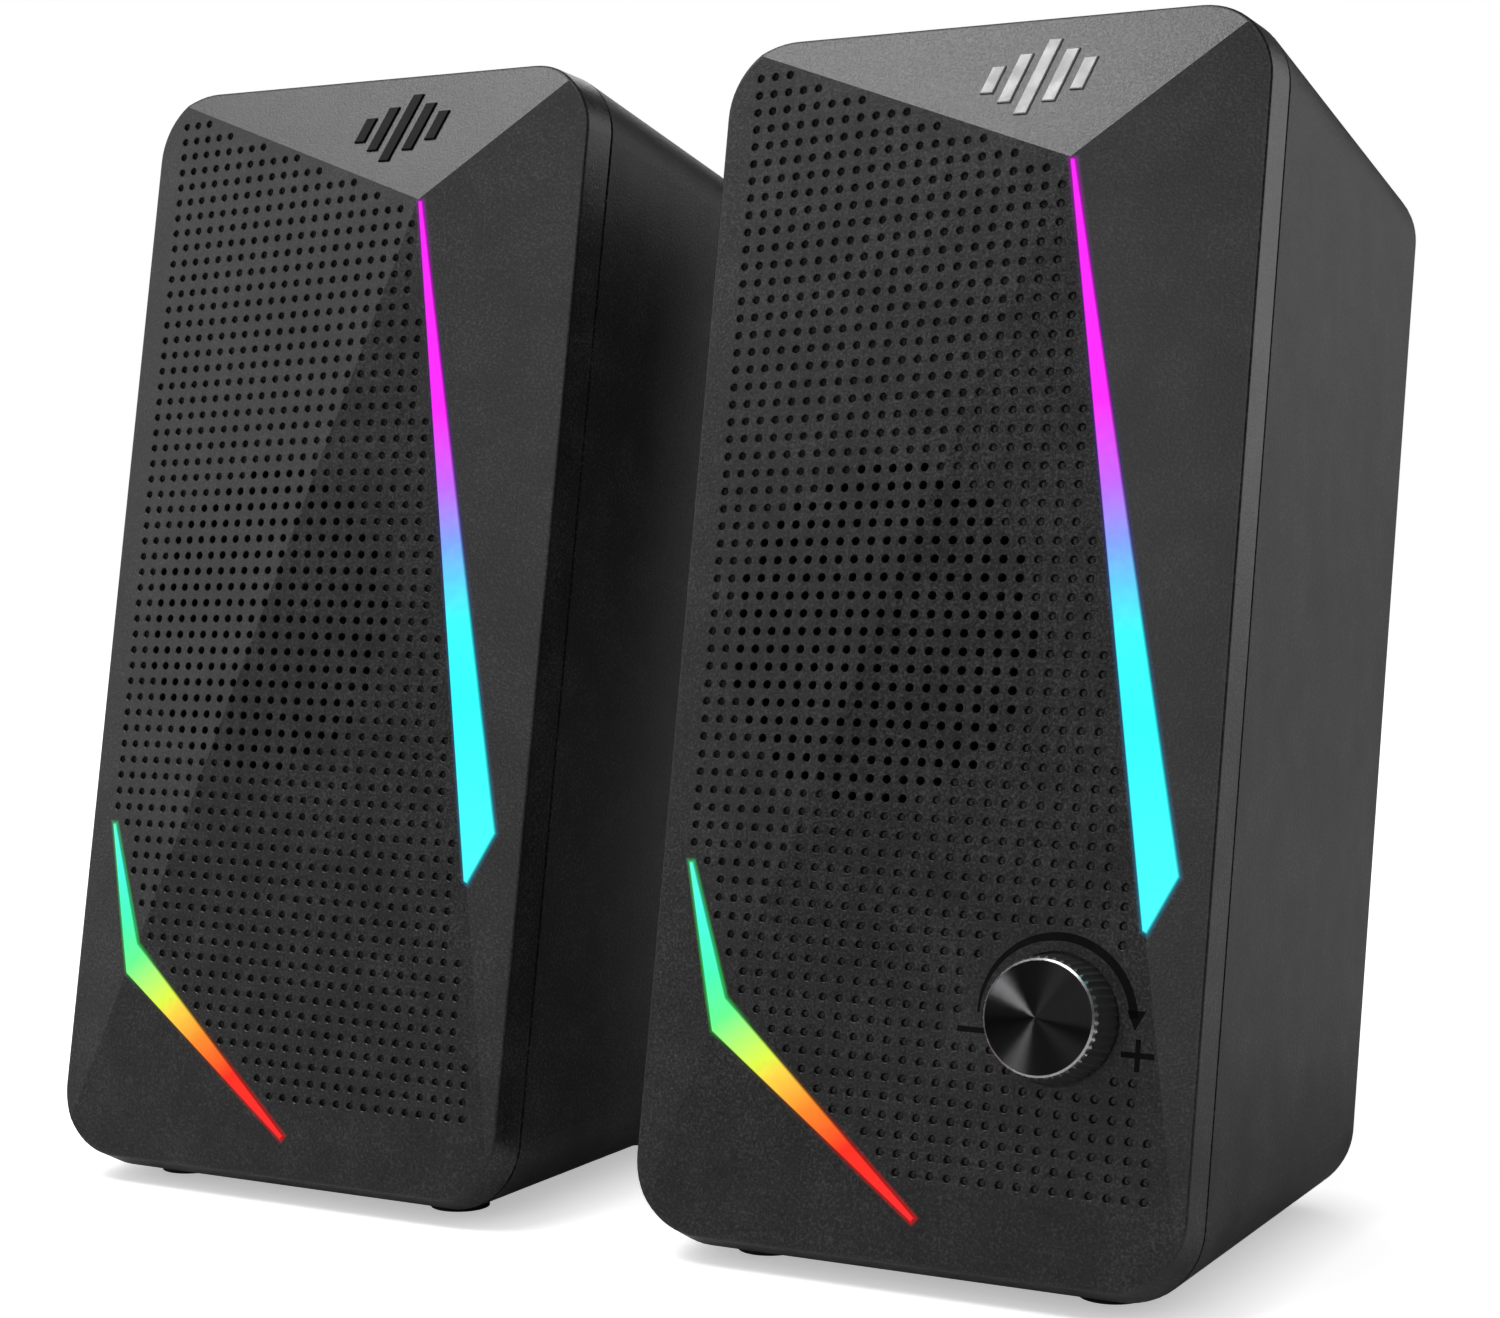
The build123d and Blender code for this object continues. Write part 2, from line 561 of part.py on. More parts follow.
def knob_body():
    """Tapered, toothed knob, hollow behind, with a hub that grips the shaft."""
    shoulder = KNOB_FRONT + KNOB_CHAMFER
    body = turned([(0, KNOB_FRONT + 0.5), (KNOB_FACE_R, KNOB_FRONT + 0.5), (KNOB_FACE_R, KNOB_FRONT + 0.1),
                   (KNOB_FRONT_R, shoulder), (KNOB_BASE_R, KNOB_BACK), (KNOB_HOLLOW_R, KNOB_BACK),
                   (KNOB_HOLLOW_R, SHAFT_FRONT + 0.3), (KNOB_HUB_R, SHAFT_FRONT + 0.3),
                   (KNOB_HUB_R, KNOB_HUB_BACK), (SHAFT_R + 0.02, KNOB_HUB_BACK),
                   (SHAFT_R + 0.02, SHAFT_FRONT - 0.1), (0, SHAFT_FRONT - 0.1)])
    flare = (KNOB_BASE_R - KNOB_FRONT_R) / (KNOB_BACK - shoulder)
    ends = []
    for y in (KNOB_FRONT - 0.5, KNOB_BACK + 0.5):
        middle = KNOB_FRONT_R + flare * (y - shoulder) + HOLLOW_R - HOLLOW_DEPTH
        ends.append(depth_plane(y) * (Pos(0, middle) * Circle(HOLLOW_R)))
    hollow = loft(ends, ruled=True)
    cutters = [(Rot(Y=360 * i / KNOB_TEETH) * hollow).solid() for i in range(KNOB_TEETH)]
    return Pos(KNOB_X, 0, KNOB_Z) * Part(body.cut(*cutters).wrapped)


def knob_face():
    """Spun metal disc let into the knob's front, slightly domed."""
    rim = KNOB_FACE_R - 0.05
    dome = ThreePointArc((0, KNOB_FRONT - 0.5), (rim / 2, KNOB_FRONT - 0.38), (rim, KNOB_FRONT))
    sides = Polyline(dome @ 1, (rim, KNOB_FRONT + 0.5), (0, KNOB_FRONT + 0.5), dome @ 0)
    return Pos(KNOB_X, 0, KNOB_Z) * revolve(make_face(Curve() + [dome, sides]), axis=Axis.Y)


def jack_board():
    """Small board that carries the left speaker's socket."""
    board = prism(Pos(JACK_X, JACK_Z + 4) * RectangleRounded(22, 26, 1.5), BOARD_FRONT, BOARD_REAR)
    for x, z in LEFT_STANDOFFS:
        board -= rod(x, z, 0.9, BOARD_FRONT, BOARD_REAR)
    return board


# ---- assembly --------------------------------------------------------------------------------------
def stood_up(solid, x):
    """From the leaned frame to the desk, with the speaker's middle at x."""
    return Pos(x, 0, REST_HEIGHT) * Rot(X=-LEAN) * solid


def feet():
    """Rubber pads let into the level underside, already upright."""
    return [Pos(x, y, FOOT_T / 2) * Cylinder(FOOT_R, FOOT_T) for x, y in FEET]


def shared_pieces():
    """Pieces that both speakers have alike, in the leaned frame."""
    return {
        "long_light_lens": lens(LONG_BAR),
        "short_light_lens": lens(SHORT_BAR),
        "long_light_board": light_board(LONG_RUN),
        "short_light_board": light_board(SHORT_RUN),
        "light_leds": leds(LONG_RUN) + leds(SHORT_RUN),
        "emblem_bars": emblem(),
        "driver_gasket": driver_gasket(),
        "driver_basket": driver_basket(),
        "driver_cone": driver_cone(),
        "driver_dust_cap": driver_dust_cap(),
        "driver_surround": driver_surround(),
        "driver_spider": driver_spider(),
        "driver_voice_coil": driver_voice_coil(),
        "driver_top_plate": driver_top_plate(),
        "driver_magnet": driver_magnet(),
        "driver_yoke": driver_yoke(),
        "driver_screws": driver_screws(),
        "driver_terminals": driver_terminals(),
        "case_screws": case_screws(),
    }


def right_pieces():
    sockets = [jack_opening(JACK_X, JACK_Z), jack_opening(LINK_X, JACK_Z), inlet_opening(INLET_X, JACK_Z)]
    return {
        "front_panel": front_panel(with_knob=True),
        "cabinet": cabinet(sockets, BOARD_HOLES),
        "audio_in_jack": jack(JACK_X, JACK_Z),
        "link_out_jack": jack(LINK_X, JACK_Z),
        "power_inlet": power_inlet(INLET_X, JACK_Z),
        "amplifier_board": amplifier_board(),
        "amplifier_components": amplifier_components(),
        "amplifier_heatsink": amplifier_heatsink(),
        "board_screws": board_screws(),
        "driver_leads": driver_leads(DRIVER_X, BOARD_BOTTOM + 6),
        "volume_pot_body": pot_body(),
        "volume_pot_nut": pot_nut(),
        "volume_pot_shaft": pot_shaft(),
        "knob_body": knob_body(),
        "knob_face": knob_face(),
    }


def left_pieces():
    return {
        "front_panel": front_panel(with_knob=False),
        "cabinet": cabinet([jack_opening(JACK_X, JACK_Z)], LEFT_STANDOFFS),
        "link_in_jack": jack(JACK_X, JACK_Z),
        "jack_board": jack_board(),
        "driver_leads": driver_leads(JACK_X, JACK_Z + 4),
    }


def speaker(side, x, own_pieces, shared):
    """One speaker's pieces, stood up, by node name."""
    placed = {}
    for name, made in {**own_pieces, **shared}.items():
        solids = made if isinstance(made, list) else [made]
        placed[f"{side}_{name}"] = [stood_up(solid, x) for solid in solids]
    foot_solids = [Pos(x, 0, 0) * foot for foot in feet()]
    placed[f"{side}_rubber_feet"] = foot_solids
    case = placed[f"{side}_cabinet"][0]
    for foot in foot_solids:
        case -= foot
    placed[f"{side}_cabinet"] = [case]
    return placed


def main():
    shared = shared_pieces()
    nodes = speaker("right", SPACING / 2, right_pieces(), shared)
    nodes.update(speaker("left", -SPACING / 2, left_pieces(), shared))
    nodes = {name: [solid for part in made for solid in part.solids()] for name, made in nodes.items()}
    box = Compound([solid for solids in nodes.values() for solid in solids]).bounding_box()
    middle = Pos(0, -(box.min.Y + box.max.Y) / 2, 0)
    os.makedirs("parts", exist_ok=True)
    for name, solids in nodes.items():
        placed = [middle * solid for solid in solids]
        export_step(placed[0] if len(placed) == 1 else Compound(placed), f"parts/{name}.step")
    print("moved in y by", round(middle.position.Y, 4))


main()
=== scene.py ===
import json
from math import atan2, cos, hypot, pi, radians, sin, tan

import bpy
from mathutils import Matrix, Vector
from mathutils.geometry import delaunay_2d_cdt


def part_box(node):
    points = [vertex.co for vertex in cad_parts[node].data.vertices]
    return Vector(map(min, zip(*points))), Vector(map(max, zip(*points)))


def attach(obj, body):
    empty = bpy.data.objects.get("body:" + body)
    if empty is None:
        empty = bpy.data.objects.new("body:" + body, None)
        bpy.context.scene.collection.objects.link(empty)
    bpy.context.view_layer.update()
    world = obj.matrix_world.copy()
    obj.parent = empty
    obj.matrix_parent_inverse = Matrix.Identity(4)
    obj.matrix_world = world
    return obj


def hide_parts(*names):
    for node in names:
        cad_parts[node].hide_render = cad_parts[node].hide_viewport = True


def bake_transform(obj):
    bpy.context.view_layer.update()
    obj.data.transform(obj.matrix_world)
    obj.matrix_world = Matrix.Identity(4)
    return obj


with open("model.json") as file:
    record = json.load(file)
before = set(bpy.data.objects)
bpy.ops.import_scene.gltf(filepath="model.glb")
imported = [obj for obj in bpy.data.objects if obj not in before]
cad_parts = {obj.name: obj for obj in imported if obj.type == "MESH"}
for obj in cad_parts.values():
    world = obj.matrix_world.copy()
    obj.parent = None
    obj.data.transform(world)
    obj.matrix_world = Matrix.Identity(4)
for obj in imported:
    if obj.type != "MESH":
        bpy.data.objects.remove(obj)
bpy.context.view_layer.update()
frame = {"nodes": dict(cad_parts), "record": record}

# Each speaker's pieces are drawn in its leaned frame, in millimetres: x across the face, y into the box,
# z up the face, y = 0 through the face's four edges. place() puts them on the desk, in metres.
MM = 0.001
SIDES = ("left", "right")
HOST = {"left": "passive_speaker", "right": "active_speaker"}
CONE_BODY = {"left": "passive_cone", "right": "active_cone"}

# ---- the case --------------------------------------------------------
LEAN = radians(10.5)
FACE_W = 90.8
FACE_H = 190.4
FACE_R = 11.8            # corners of the face
APEX = (17.5, -7.05, 166.2)   # where the four facets meet
SKIN = 2.4               # thickness of the front panel
BEZEL_Y = 6.7            # depth of the parting groove
BEZEL_OUT = 0.55         # how far the side wall flares by then: outwards, upwards and downwards
BEZEL_UP = 0.45
BEZEL_DROP = 1.65
LIP_INSET = 2.65         # the lip that enters the cabinet
LIP_END = BEZEL_Y + 3.0
RIM_INSET = 3.9
TOP_FALL = 0.04          # fall of the cabinet's top towards the back
FOOT_PROUD = 2.0
FOOT_FRONT = 11.0        # where the front feet begin
EDGE_R = 0.5             # rounding between the facets and the side of the panel
EDGE_STEPS = 4
CORNER_STEPS = 14
SEAM_R = 0.25            # rounding beside the parting groove

# ---- perforation -----------------------------------------------------
HOLE_PITCH = 2.8
HOLE_R = 0.7
HOLE_LIP = 0.07          # chamfer at a hole's mouth
HOLE_SIDES = 12
FIRST_HOLE = (-39.56, 184.48)
COLUMNS = 29
ROWS = 62
TOP_MARGIN = 1.12        # least distance from the crease above
BAR_MARGIN = 1.41        # least distance from the short light bar
RIGHT_COLUMN = 18.82     # where the top row ends, and how much further each row below it goes
RIGHT_DRIFT = 0.16
DIMPLE = [(0.65, 0.1), (0.62, 0.66), (0.5, 0.8)]  # rings (radius, depth) of a blind hole
DIMPLE_TIP = 0.06        # its point, below the last ring

# ---- driver ----------------------------------------------------------
DRIVER = (-9.2, 94.8)
DRIVER_OPEN_R = 26.2     # the holes within it are open
LEDGE_Y = 17.0           # depth of the ledge that carries the spider
SECTORS = 12             # of each soft ring, and the steps in one
SECTOR_STEPS = 5
SURROUND_FLEX = (24.2, 22.2)    # radii between which a ring bends
SPIDER_FLEX = (16.5, 8.4)

# ---- light bars and marks --------------------------------------------
LONG_BAR = [(17.5, 165.9), (36.15, 52.4), (36.85, 52.0), (40.8, 60.6), (18.3, 165.9)]
SHORT_BAR = [(-40.15, 58.2), (-33.05, 32.05), (2.75, 6.6), (3.35, 7.35), (-30.95, 37.35), (-39.3, 58.2)]
HOLES_END = [(-39.25, 58.1), (-30.9, 37.5), (3.0, 6.9)]    # the holes keep above this line
TIP_R = 0.3
LENS_PROUD = 0.25
LENS_CLEAR = 0.05        # play round a lens in its slot
LENS_BEVEL = 0.16
LONG_COLOURS = [(0.0, "ff2afd"), (0.31, "fd2cfe"), (0.42, "c766fd"), (0.5, "83a2fd"), (0.56, "5fd4fe"),
                (0.62, "3efeff"), (0.74, "34fdff"), (1.0, "4cfeff")]
SHORT_COLOURS = [(0.0, "5fffd9"), (0.12, "4affe2"), (0.26, "4affb8"), (0.36, "68ff91"), (0.5, "e0fc4b"),
                 (0.55, "fed448"), (0.65, "f98c2d"), (0.78, "fa3222"), (1.0, "ff2d2f")]
# colours of the glow painted on the panel round each bar
LONG_HALO = [(0.0, "680470"), (0.1, "44044e"), (0.2, "2b0043"), (0.5, "20105a"), (0.6, "0c3a60"),
             (1.0, "0c5a70")]
SHORT_HALO = [(0.0, "20904a"), (0.3, "11a838"), (0.42, "0b3a04"), (0.7, "500804"), (0.85, "8c0102"),
              (1.0, "9a0507")]
LONG_RUN = ((18.2, 164.9), (0.1687, -0.9857), 114.0)    # start, direction and length of the colours
SHORT_RUN = ((-39.6, 58.1), (0.6, -0.8), 66.5)
EMBLEM_CENTRE = (9.6, 180.3)
EMBLEM_HEIGHTS = [4.6, 8.2, 12.6, 8.8, 5.4]
EMBLEM_BAR_W = 2.2
EMBLEM_STEP = 3.7
EMBLEM_SLANT = 0.28
EMBLEM_PROUD = 0.35
EMBLEM_SUNK = 0.3
EMBLEM_BEVEL = 0.15

# ---- volume knob -----------------------------------------------------
KNOB = (23.7, 38.7)
KNOB_SURFACE = APEX[1] * KNOB[1] / APEX[2]
KNOB_FRONT = KNOB_SURFACE - 7.1
KNOB_BACK = -1.15
KNOB_BASE_R = 9.6
KNOB_FRONT_R = 9.0
KNOB_FACE_R = 8.3
RIM_DEPTH = 1.0          # how far the bright cut rim runs back over the teeth
KNOB_TEETH = 45
TOOTH_DEPTH = 0.3
KNOB_STEPS = KNOB_TEETH * 8
BORE = (7.4, 2.1)        # the hollow in its back: radius, and how far behind the front it ends
DISC_RISE = 1.3          # how far the spun disc's centre stands out
POCKET_R = 9.9           # the hole in the panel that the knob sits in
POCKET_FLOOR = -0.9
BUSH_R = 3.6
KNOB_CLEAR_UP = 14.2     # no holes nearer the knob than this, above and beside it
KNOB_CLEAR_DOWN = 10.8   # and below it
KNOB_LOW_ROW = 53
ARC_R = 12.05
ARC_W = 1.3
ARC_TIP_W = 0.35         # at its thin start, where it also runs this much further out
ARC_TIP_OUT = 0.2
ARC_END = 5              # degrees above the knob's right
ARC_STEPS = 40
ARROW = [(34.6, 40.9), (35.95, 38.0), (37.5, 40.9)]
MINUS = (10.75, 36.05)
MINUS_CLEAR = (3.6, 1.4)        # no holes this near, across and up
PLUS = (36.6, 34.5)
PLUS_H = 4.7
PLUS_CLEAR = (4.0, 3.0)
SIGN_W = 5.1             # width of the minus and of the plus
STROKE = 0.85
UPRIGHT = 0.94           # the plus's upright stroke is this much of the other
PRINT_T = 0.03
PRINT_SUNK = 0.1


def place(side):
    """The leaned frame of one speaker, as a matrix to the row frame."""
    low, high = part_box(f"{side}_rubber_feet")
    rest = (BEZEL_DROP * cos(LEAN) + BEZEL_Y * sin(LEAN) + FOOT_PROUD) * MM
    origin = Vector(((low.x + high.x) / 2, low.y - FOOT_FRONT * MM, rest))
    return Matrix.Translation(origin) @ Matrix.Rotation(-LEAN, 4, "X") @ Matrix.Scale(MM, 4)


# ---- mesh building ---------------------------------------------------
class Shell:
    """Collects the points and faces of one piece in the leaned frame."""

    def __init__(self):
        self.points = []
        self.faces = []
        self.normals = []
        self.kinds = []

    def add(self, points):
        start = len(self.points)
        self.points += [Vector(p) for p in points]
        return list(range(start, len(self.points)))

    def face(self, corners, normals=None, kind=0):
        """One face; without normals it is flat. Kind is the number of its material."""
        self.faces.append(corners)
        self.normals.append(normals)
        self.kinds.append(kind)

    def wall(self, front, back, tangents=None, kind=0):
        """Quads between two closed rings. They face the ring's inside when it runs anticlockwise
        seen from the front. Tangents along the ring make it smooth round its bends."""
        count = len(front)
        for i in range(count):
            j = (i + 1) % count
            corners = [front[i], front[j], back[j], back[i]]
            if tangents is None:
                self.face(corners, None, kind)
                continue
            ends = []
            for k in (i, j):
                across = self.points[back[k]] - self.points[front[k]]
                ends.append(tangents[k].cross(across).normalized())
            self.face(corners, [ends[0], ends[1], ends[1], ends[0]], kind)

    def stitch(self, inner, outer):
        """Triangles between two rings round the middle of the face, with any number of points."""
        def turn(i):
            return atan2(self.points[i].z - FACE_H / 2, self.points[i].x) % (2 * pi)

        inner, outer = sorted(inner, key=turn), sorted(outer, key=turn)
        i = j = 0
        while i < len(inner) or j < len(outer):
            here, there = inner[i % len(inner)], outer[j % len(outer)]
            if j == len(outer) or (i < len(inner) and turn(here) <= turn(there)):
                i += 1
                self.face([here, inner[i % len(inner)], there])
            else:
                j += 1
                self.face([here, outer[j % len(outer)], there])

    def cap(self, ring, centre, flip=False):
        """A fan from a ring to one point."""
        middle = self.add([centre])[0]
        count = len(ring)
        for i in range(count):
            corners = [ring[i], ring[(i + 1) % count], middle]
            self.face(corners[::-1] if flip else corners)

    def piece(self, name, matrix, materials, body, slot, replaced=(), flex=None):
        """The object. It rides on body or, with flex, (start, end), is baked in place and rides on nothing.
        """
        mesh = bpy.data.meshes.new(name)
        used = sorted({i for corners in self.faces for i in corners})
        number = {i: n for n, i in enumerate(used)}
        mesh.from_pydata([matrix @ self.points[i] for i in used], [],
                         [[number[i] for i in corners] for corners in self.faces])
        turn = matrix.to_quaternion()
        for material in materials:
            mesh.materials.append(material)
        mesh.polygons.foreach_set("material_index", self.kinds)
        mesh.polygons.foreach_set("use_smooth", [True] * len(self.faces))
        corner_normals = []
        for polygon, normals in zip(mesh.polygons, self.normals):
            if normals is None:
                corner_normals += [polygon.normal.copy()] * polygon.loop_total
            else:
                corner_normals += [turn @ n for n in normals]
        mesh.normals_split_custom_set(corner_normals)
        made = put(name, mesh)
        if flex:
            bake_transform(made)
        else:
            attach(made, body)
        if replaced:
            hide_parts(*replaced)
        return made


def surface(x, z):
    """Depth of the faceted front at a point of the face."""
    half = FACE_W / 2
    left = (x + half) / (APEX[0] + half)
    right = (half - x) / (half - APEX[0])
    top = (FACE_H - z) / (FACE_H - APEX[2])
    bottom = z / APEX[2]
    return APEX[1] * min(left, right, top, bottom)


def put(name, data):
    """A new object in the scene."""
    made = bpy.data.objects.new(name, data)
    bpy.context.scene.collection.objects.link(made)
    return made


def around(centre, radius, depth, angle):
    return centre[0] + radius * cos(angle), depth, centre[1] + radius * sin(angle)


def circle(centre, radius, count, turn=0.0):
    steps = [turn + 2 * pi * i / count for i in range(count)]
    return [(centre[0] + radius * cos(a), centre[1] + radius * sin(a)) for a in steps]


def triangulated(loops, lines):
    """Triangles inside the first loop, split along every loop and line. Gives the points, the
    triangles, and for each triangle the numbers of the loops that it lies in."""
    points, faces, edges = [], [], []
    for loop in loops:
        faces.append(list(range(len(points), len(points) + len(loop))))
        points += loop
    for line in lines:
        edges.append((len(points), len(points) + 1))
        points += line
    made = delaunay_2d_cdt([Vector(p) for p in points], edges, faces, 0, 1e-4)
    return made[0], made[2], [set(owners) for owners in made[5]]


def outline_of(triangles):
    """The closed outline of a patch of triangles, anticlockwise, as point numbers."""
    edges = {(t[i], t[(i + 1) % 3]) for t in triangles for i in range(3)}
    following = {a: b for a, b in edges if (b, a) not in edges}
    first = min(following)
    ring = [first]
    while following[ring[-1]] != first:
        ring.append(following[ring[-1]])
    return ring


def creases():
    half = FACE_W / 2
    top = (APEX[0], APEX[2])
    corners = [(-half, FACE_H), (half, FACE_H), (half, 0.0), (-half, 0.0)]
    return [(top, corner) for corner in corners]


# ---- outline of the case ---------------------------------------------
def case_size(depth):
    """Width, top and bottom of the case's outline at a depth."""
    grown = max(min(depth, BEZEL_Y), 0.0) / BEZEL_Y
    beyond = max(depth - BEZEL_Y, 0.0)
    width = FACE_W + 2 * BEZEL_OUT * grown
    top = FACE_H + BEZEL_UP * grown - TOP_FALL * beyond
    bottom = tan(LEAN) * beyond - BEZEL_DROP * grown
    return width, top, bottom


def case_point(stop, depth, inset=0.0):
    """Where the outline at that depth, drawn in by inset, passes a stop. A stop is two shares of
    the rectangle between the corners' centres, and a direction out of it."""
    side, up, angle = stop
    width, top, bottom = case_size(depth)
    radius = FACE_R - inset
    x = side * (width / 2 - FACE_R) + radius * cos(angle)
    z = (top + bottom) / 2 + up * ((top - bottom) / 2 - FACE_R) + radius * sin(angle)
    return x, z


def case_outline(inset):
    """The outline of the face, drawn in by inset, anticlockwise seen from the front."""
    corners = [(1, 1), (-1, 1), (-1, -1), (1, -1)]
    turns = [(i / CORNER_STEPS) * pi / 2 for i in range(CORNER_STEPS + 1)]
    return [case_point((side, up, quarter * pi / 2 + turn), 0.0, inset)
            for quarter, (side, up) in enumerate(corners) for turn in turns]


def stop_of(x, z):
    """The stop of a point of the face's outline: its place along the core rectangle, and a direction."""
    core_x = FACE_W / 2 - FACE_R
    core_z = FACE_H / 2 - FACE_R
    side = max(-1.0, min(1.0, x / core_x))
    up = max(-1.0, min(1.0, (z - FACE_H / 2) / core_z))
    return side, up, atan2(z - FACE_H / 2 - up * core_z, x - side * core_x)


def tangents_at(angles):
    return [Vector((-sin(angle), 0.0, cos(angle))) for angle in angles]


# ---- front panel -----------------------------------------------------
def bar_distance(x, z):
    """Distance of a point above the line where the holes end, negative below it."""
    tip, elbow, end = [Vector(corner) for corner in HOLES_END]
    point = Vector((x, z))
    nearest = 1e9
    for a, b, past in ((tip, elbow, z > tip.y), (elbow, end, x > end.x)):
        way = b - a
        share = max(0.0, min(1.0, (point - a).dot(way) / way.length_squared))
        gap = (point - a - way * share).length
        inside = way.x * (z - a.y) - way.y * (x - a.x) > 0
        nearest = min(nearest, gap if inside or past else -gap)
    return nearest


def spared_for_knob(x, z, row):
    """Whether the knob or its marks take this hole's place."""
    reach = KNOB_CLEAR_UP if row <= KNOB_LOW_ROW else KNOB_CLEAR_DOWN
    by_knob = hypot(x - KNOB[0], z - KNOB[1]) < reach
    by_minus = abs(x - MINUS[0]) < MINUS_CLEAR[0] and abs(z - MINUS[1]) < MINUS_CLEAR[1]
    by_plus = abs(x - PLUS[0]) < PLUS_CLEAR[0] and abs(z - PLUS[1]) < PLUS_CLEAR[1]
    return by_knob or by_minus or by_plus


def hole_centres(side):
    """Centres of the holes of one panel, the open ones and the blind ones."""
    top_edge = Vector((APEX[0] + FACE_W / 2, APEX[2] - FACE_H)).normalized()
    opened, blind = [], []
    for column in range(COLUMNS):
        for row in range(ROWS):
            x = FIRST_HOLE[0] + column * HOLE_PITCH
            z = FIRST_HOLE[1] - row * HOLE_PITCH
            below_crease = top_edge.y * (x + FACE_W / 2) - top_edge.x * (z - FACE_H)
            if below_crease < TOP_MARGIN or column > RIGHT_COLUMN + RIGHT_DRIFT * row:
                continue
            if bar_distance(x, z) < BAR_MARGIN:
                continue
            if side == "right" and spared_for_knob(x, z, row):
                continue
            near_driver = hypot(x - DRIVER[0], z - DRIVER[1]) < DRIVER_OPEN_R
            (opened if near_driver else blind).append((x, z))
    return opened, blind


def rounded(points, radius, steps=5, sharp=radians(100)):
    """A polygon, anticlockwise, with its tips rounded where they are sharp."""
    made = []
    count = len(points)
    for i in range(count):
        here = Vector(points[i])
        before = Vector(points[i - 1]) - here
        after = Vector(points[(i + 1) % count]) - here
        opening = before.angle(after)
        if opening > sharp:
            made.append(tuple(here))
            continue
        reach = min(radius / tan(opening / 2), before.length * 0.45, after.length * 0.45)
        size = reach * tan(opening / 2)
        middle = here + (before.normalized() + after.normalized()).normalized() * (size / sin(opening / 2))
        start = here + before.normalized() * reach - middle
        end = here + after.normalized() * reach - middle
        turn = atan2(start.x * end.y - start.y * end.x, start.dot(end))
        for k in range(steps + 1):
            made.append(tuple(middle + Matrix.Rotation(turn * k / steps, 2) @ start))
    return made


def grown(points, margin):
    """A polygon, anticlockwise, with its edges moved out by a margin."""
    made = []
    count = len(points)
    for i in range(count):
        here = Vector(points[i])
        into = (here - Vector(points[i - 1])).normalized()
        out = (Vector(points[(i + 1) % count]) - here).normalized()
        normals = Vector((into.y, -into.x)) + Vector((out.y, -out.x))
        shift = normals * (margin / max(1.0 + into.dot(out), 0.2))
        made.append(tuple(here + shift))
    return made


def bar_outline(bar, margin=0.0):
    return grown(rounded(bar, TIP_R), margin)


def ring_at(shell, outline, flat, depth):
    """Adds a ring of face points at a depth below the facets."""
    return shell.add([(flat[i][0], surface(*flat[i]) + depth, flat[i][1]) for i in outline])


def hole_ring(shell, centre, flat, outline, radius, depth):
    """A ring of another radius round the same hole."""
    ring = []
    for i in outline:
        way = (flat[i] - centre).normalized() * radius
        x, z = centre.x + way.x, centre.y + way.y
        ring.append((x, surface(x, z) + depth, z))
    return shell.add(ring)


def round_tangents(centre, flat, outline):
    ways = [(flat[i] - centre).normalized() for i in outline]
    return [Vector((-way.y, 0.0, way.x)) for way in ways]


def panel_rim(shell, front_ring, back_ring):
    """Rounded edge, side wall, seam and lip between the facets' front and back."""
    stops = [stop_of(shell.points[i].x, shell.points[i].z) for i in front_ring]
    turned = tangents_at([angle for _, _, angle in stops])
    edge_depth = [shell.points[i].y for i in front_ring]
    rings = [front_ring]
    for step in range(1, EDGE_STEPS + 1):
        angle = step / EDGE_STEPS * pi / 2
        inset = EDGE_R * (1 - sin(angle))
        ring = []
        for stop, depth in zip(stops, edge_depth):
            x, z = case_point(stop, 0.0, inset)
            ring.append((x, depth + EDGE_R * (1 - cos(angle)), z))
        rings.append(shell.add(ring))
    for depth, inset in ((BEZEL_Y - SEAM_R, 0.0), (BEZEL_Y, SEAM_R), (BEZEL_Y, LIP_INSET),
                         (LIP_END, LIP_INSET), (LIP_END, RIM_INSET)):
        ring = []
        for stop in stops:
            x, z = case_point(stop, depth, inset)
            ring.append((x, depth, z))
        rings.append(shell.add(ring))
    # the side wall takes material 1, the front's plastic painted lighter (painted light)
    for number, (outer, inner) in enumerate(zip(rings, rings[1:])):
        shell.wall(inner, outer, turned, 1 if number == EDGE_STEPS else 0)
    shell.stitch(back_ring, rings[-1])


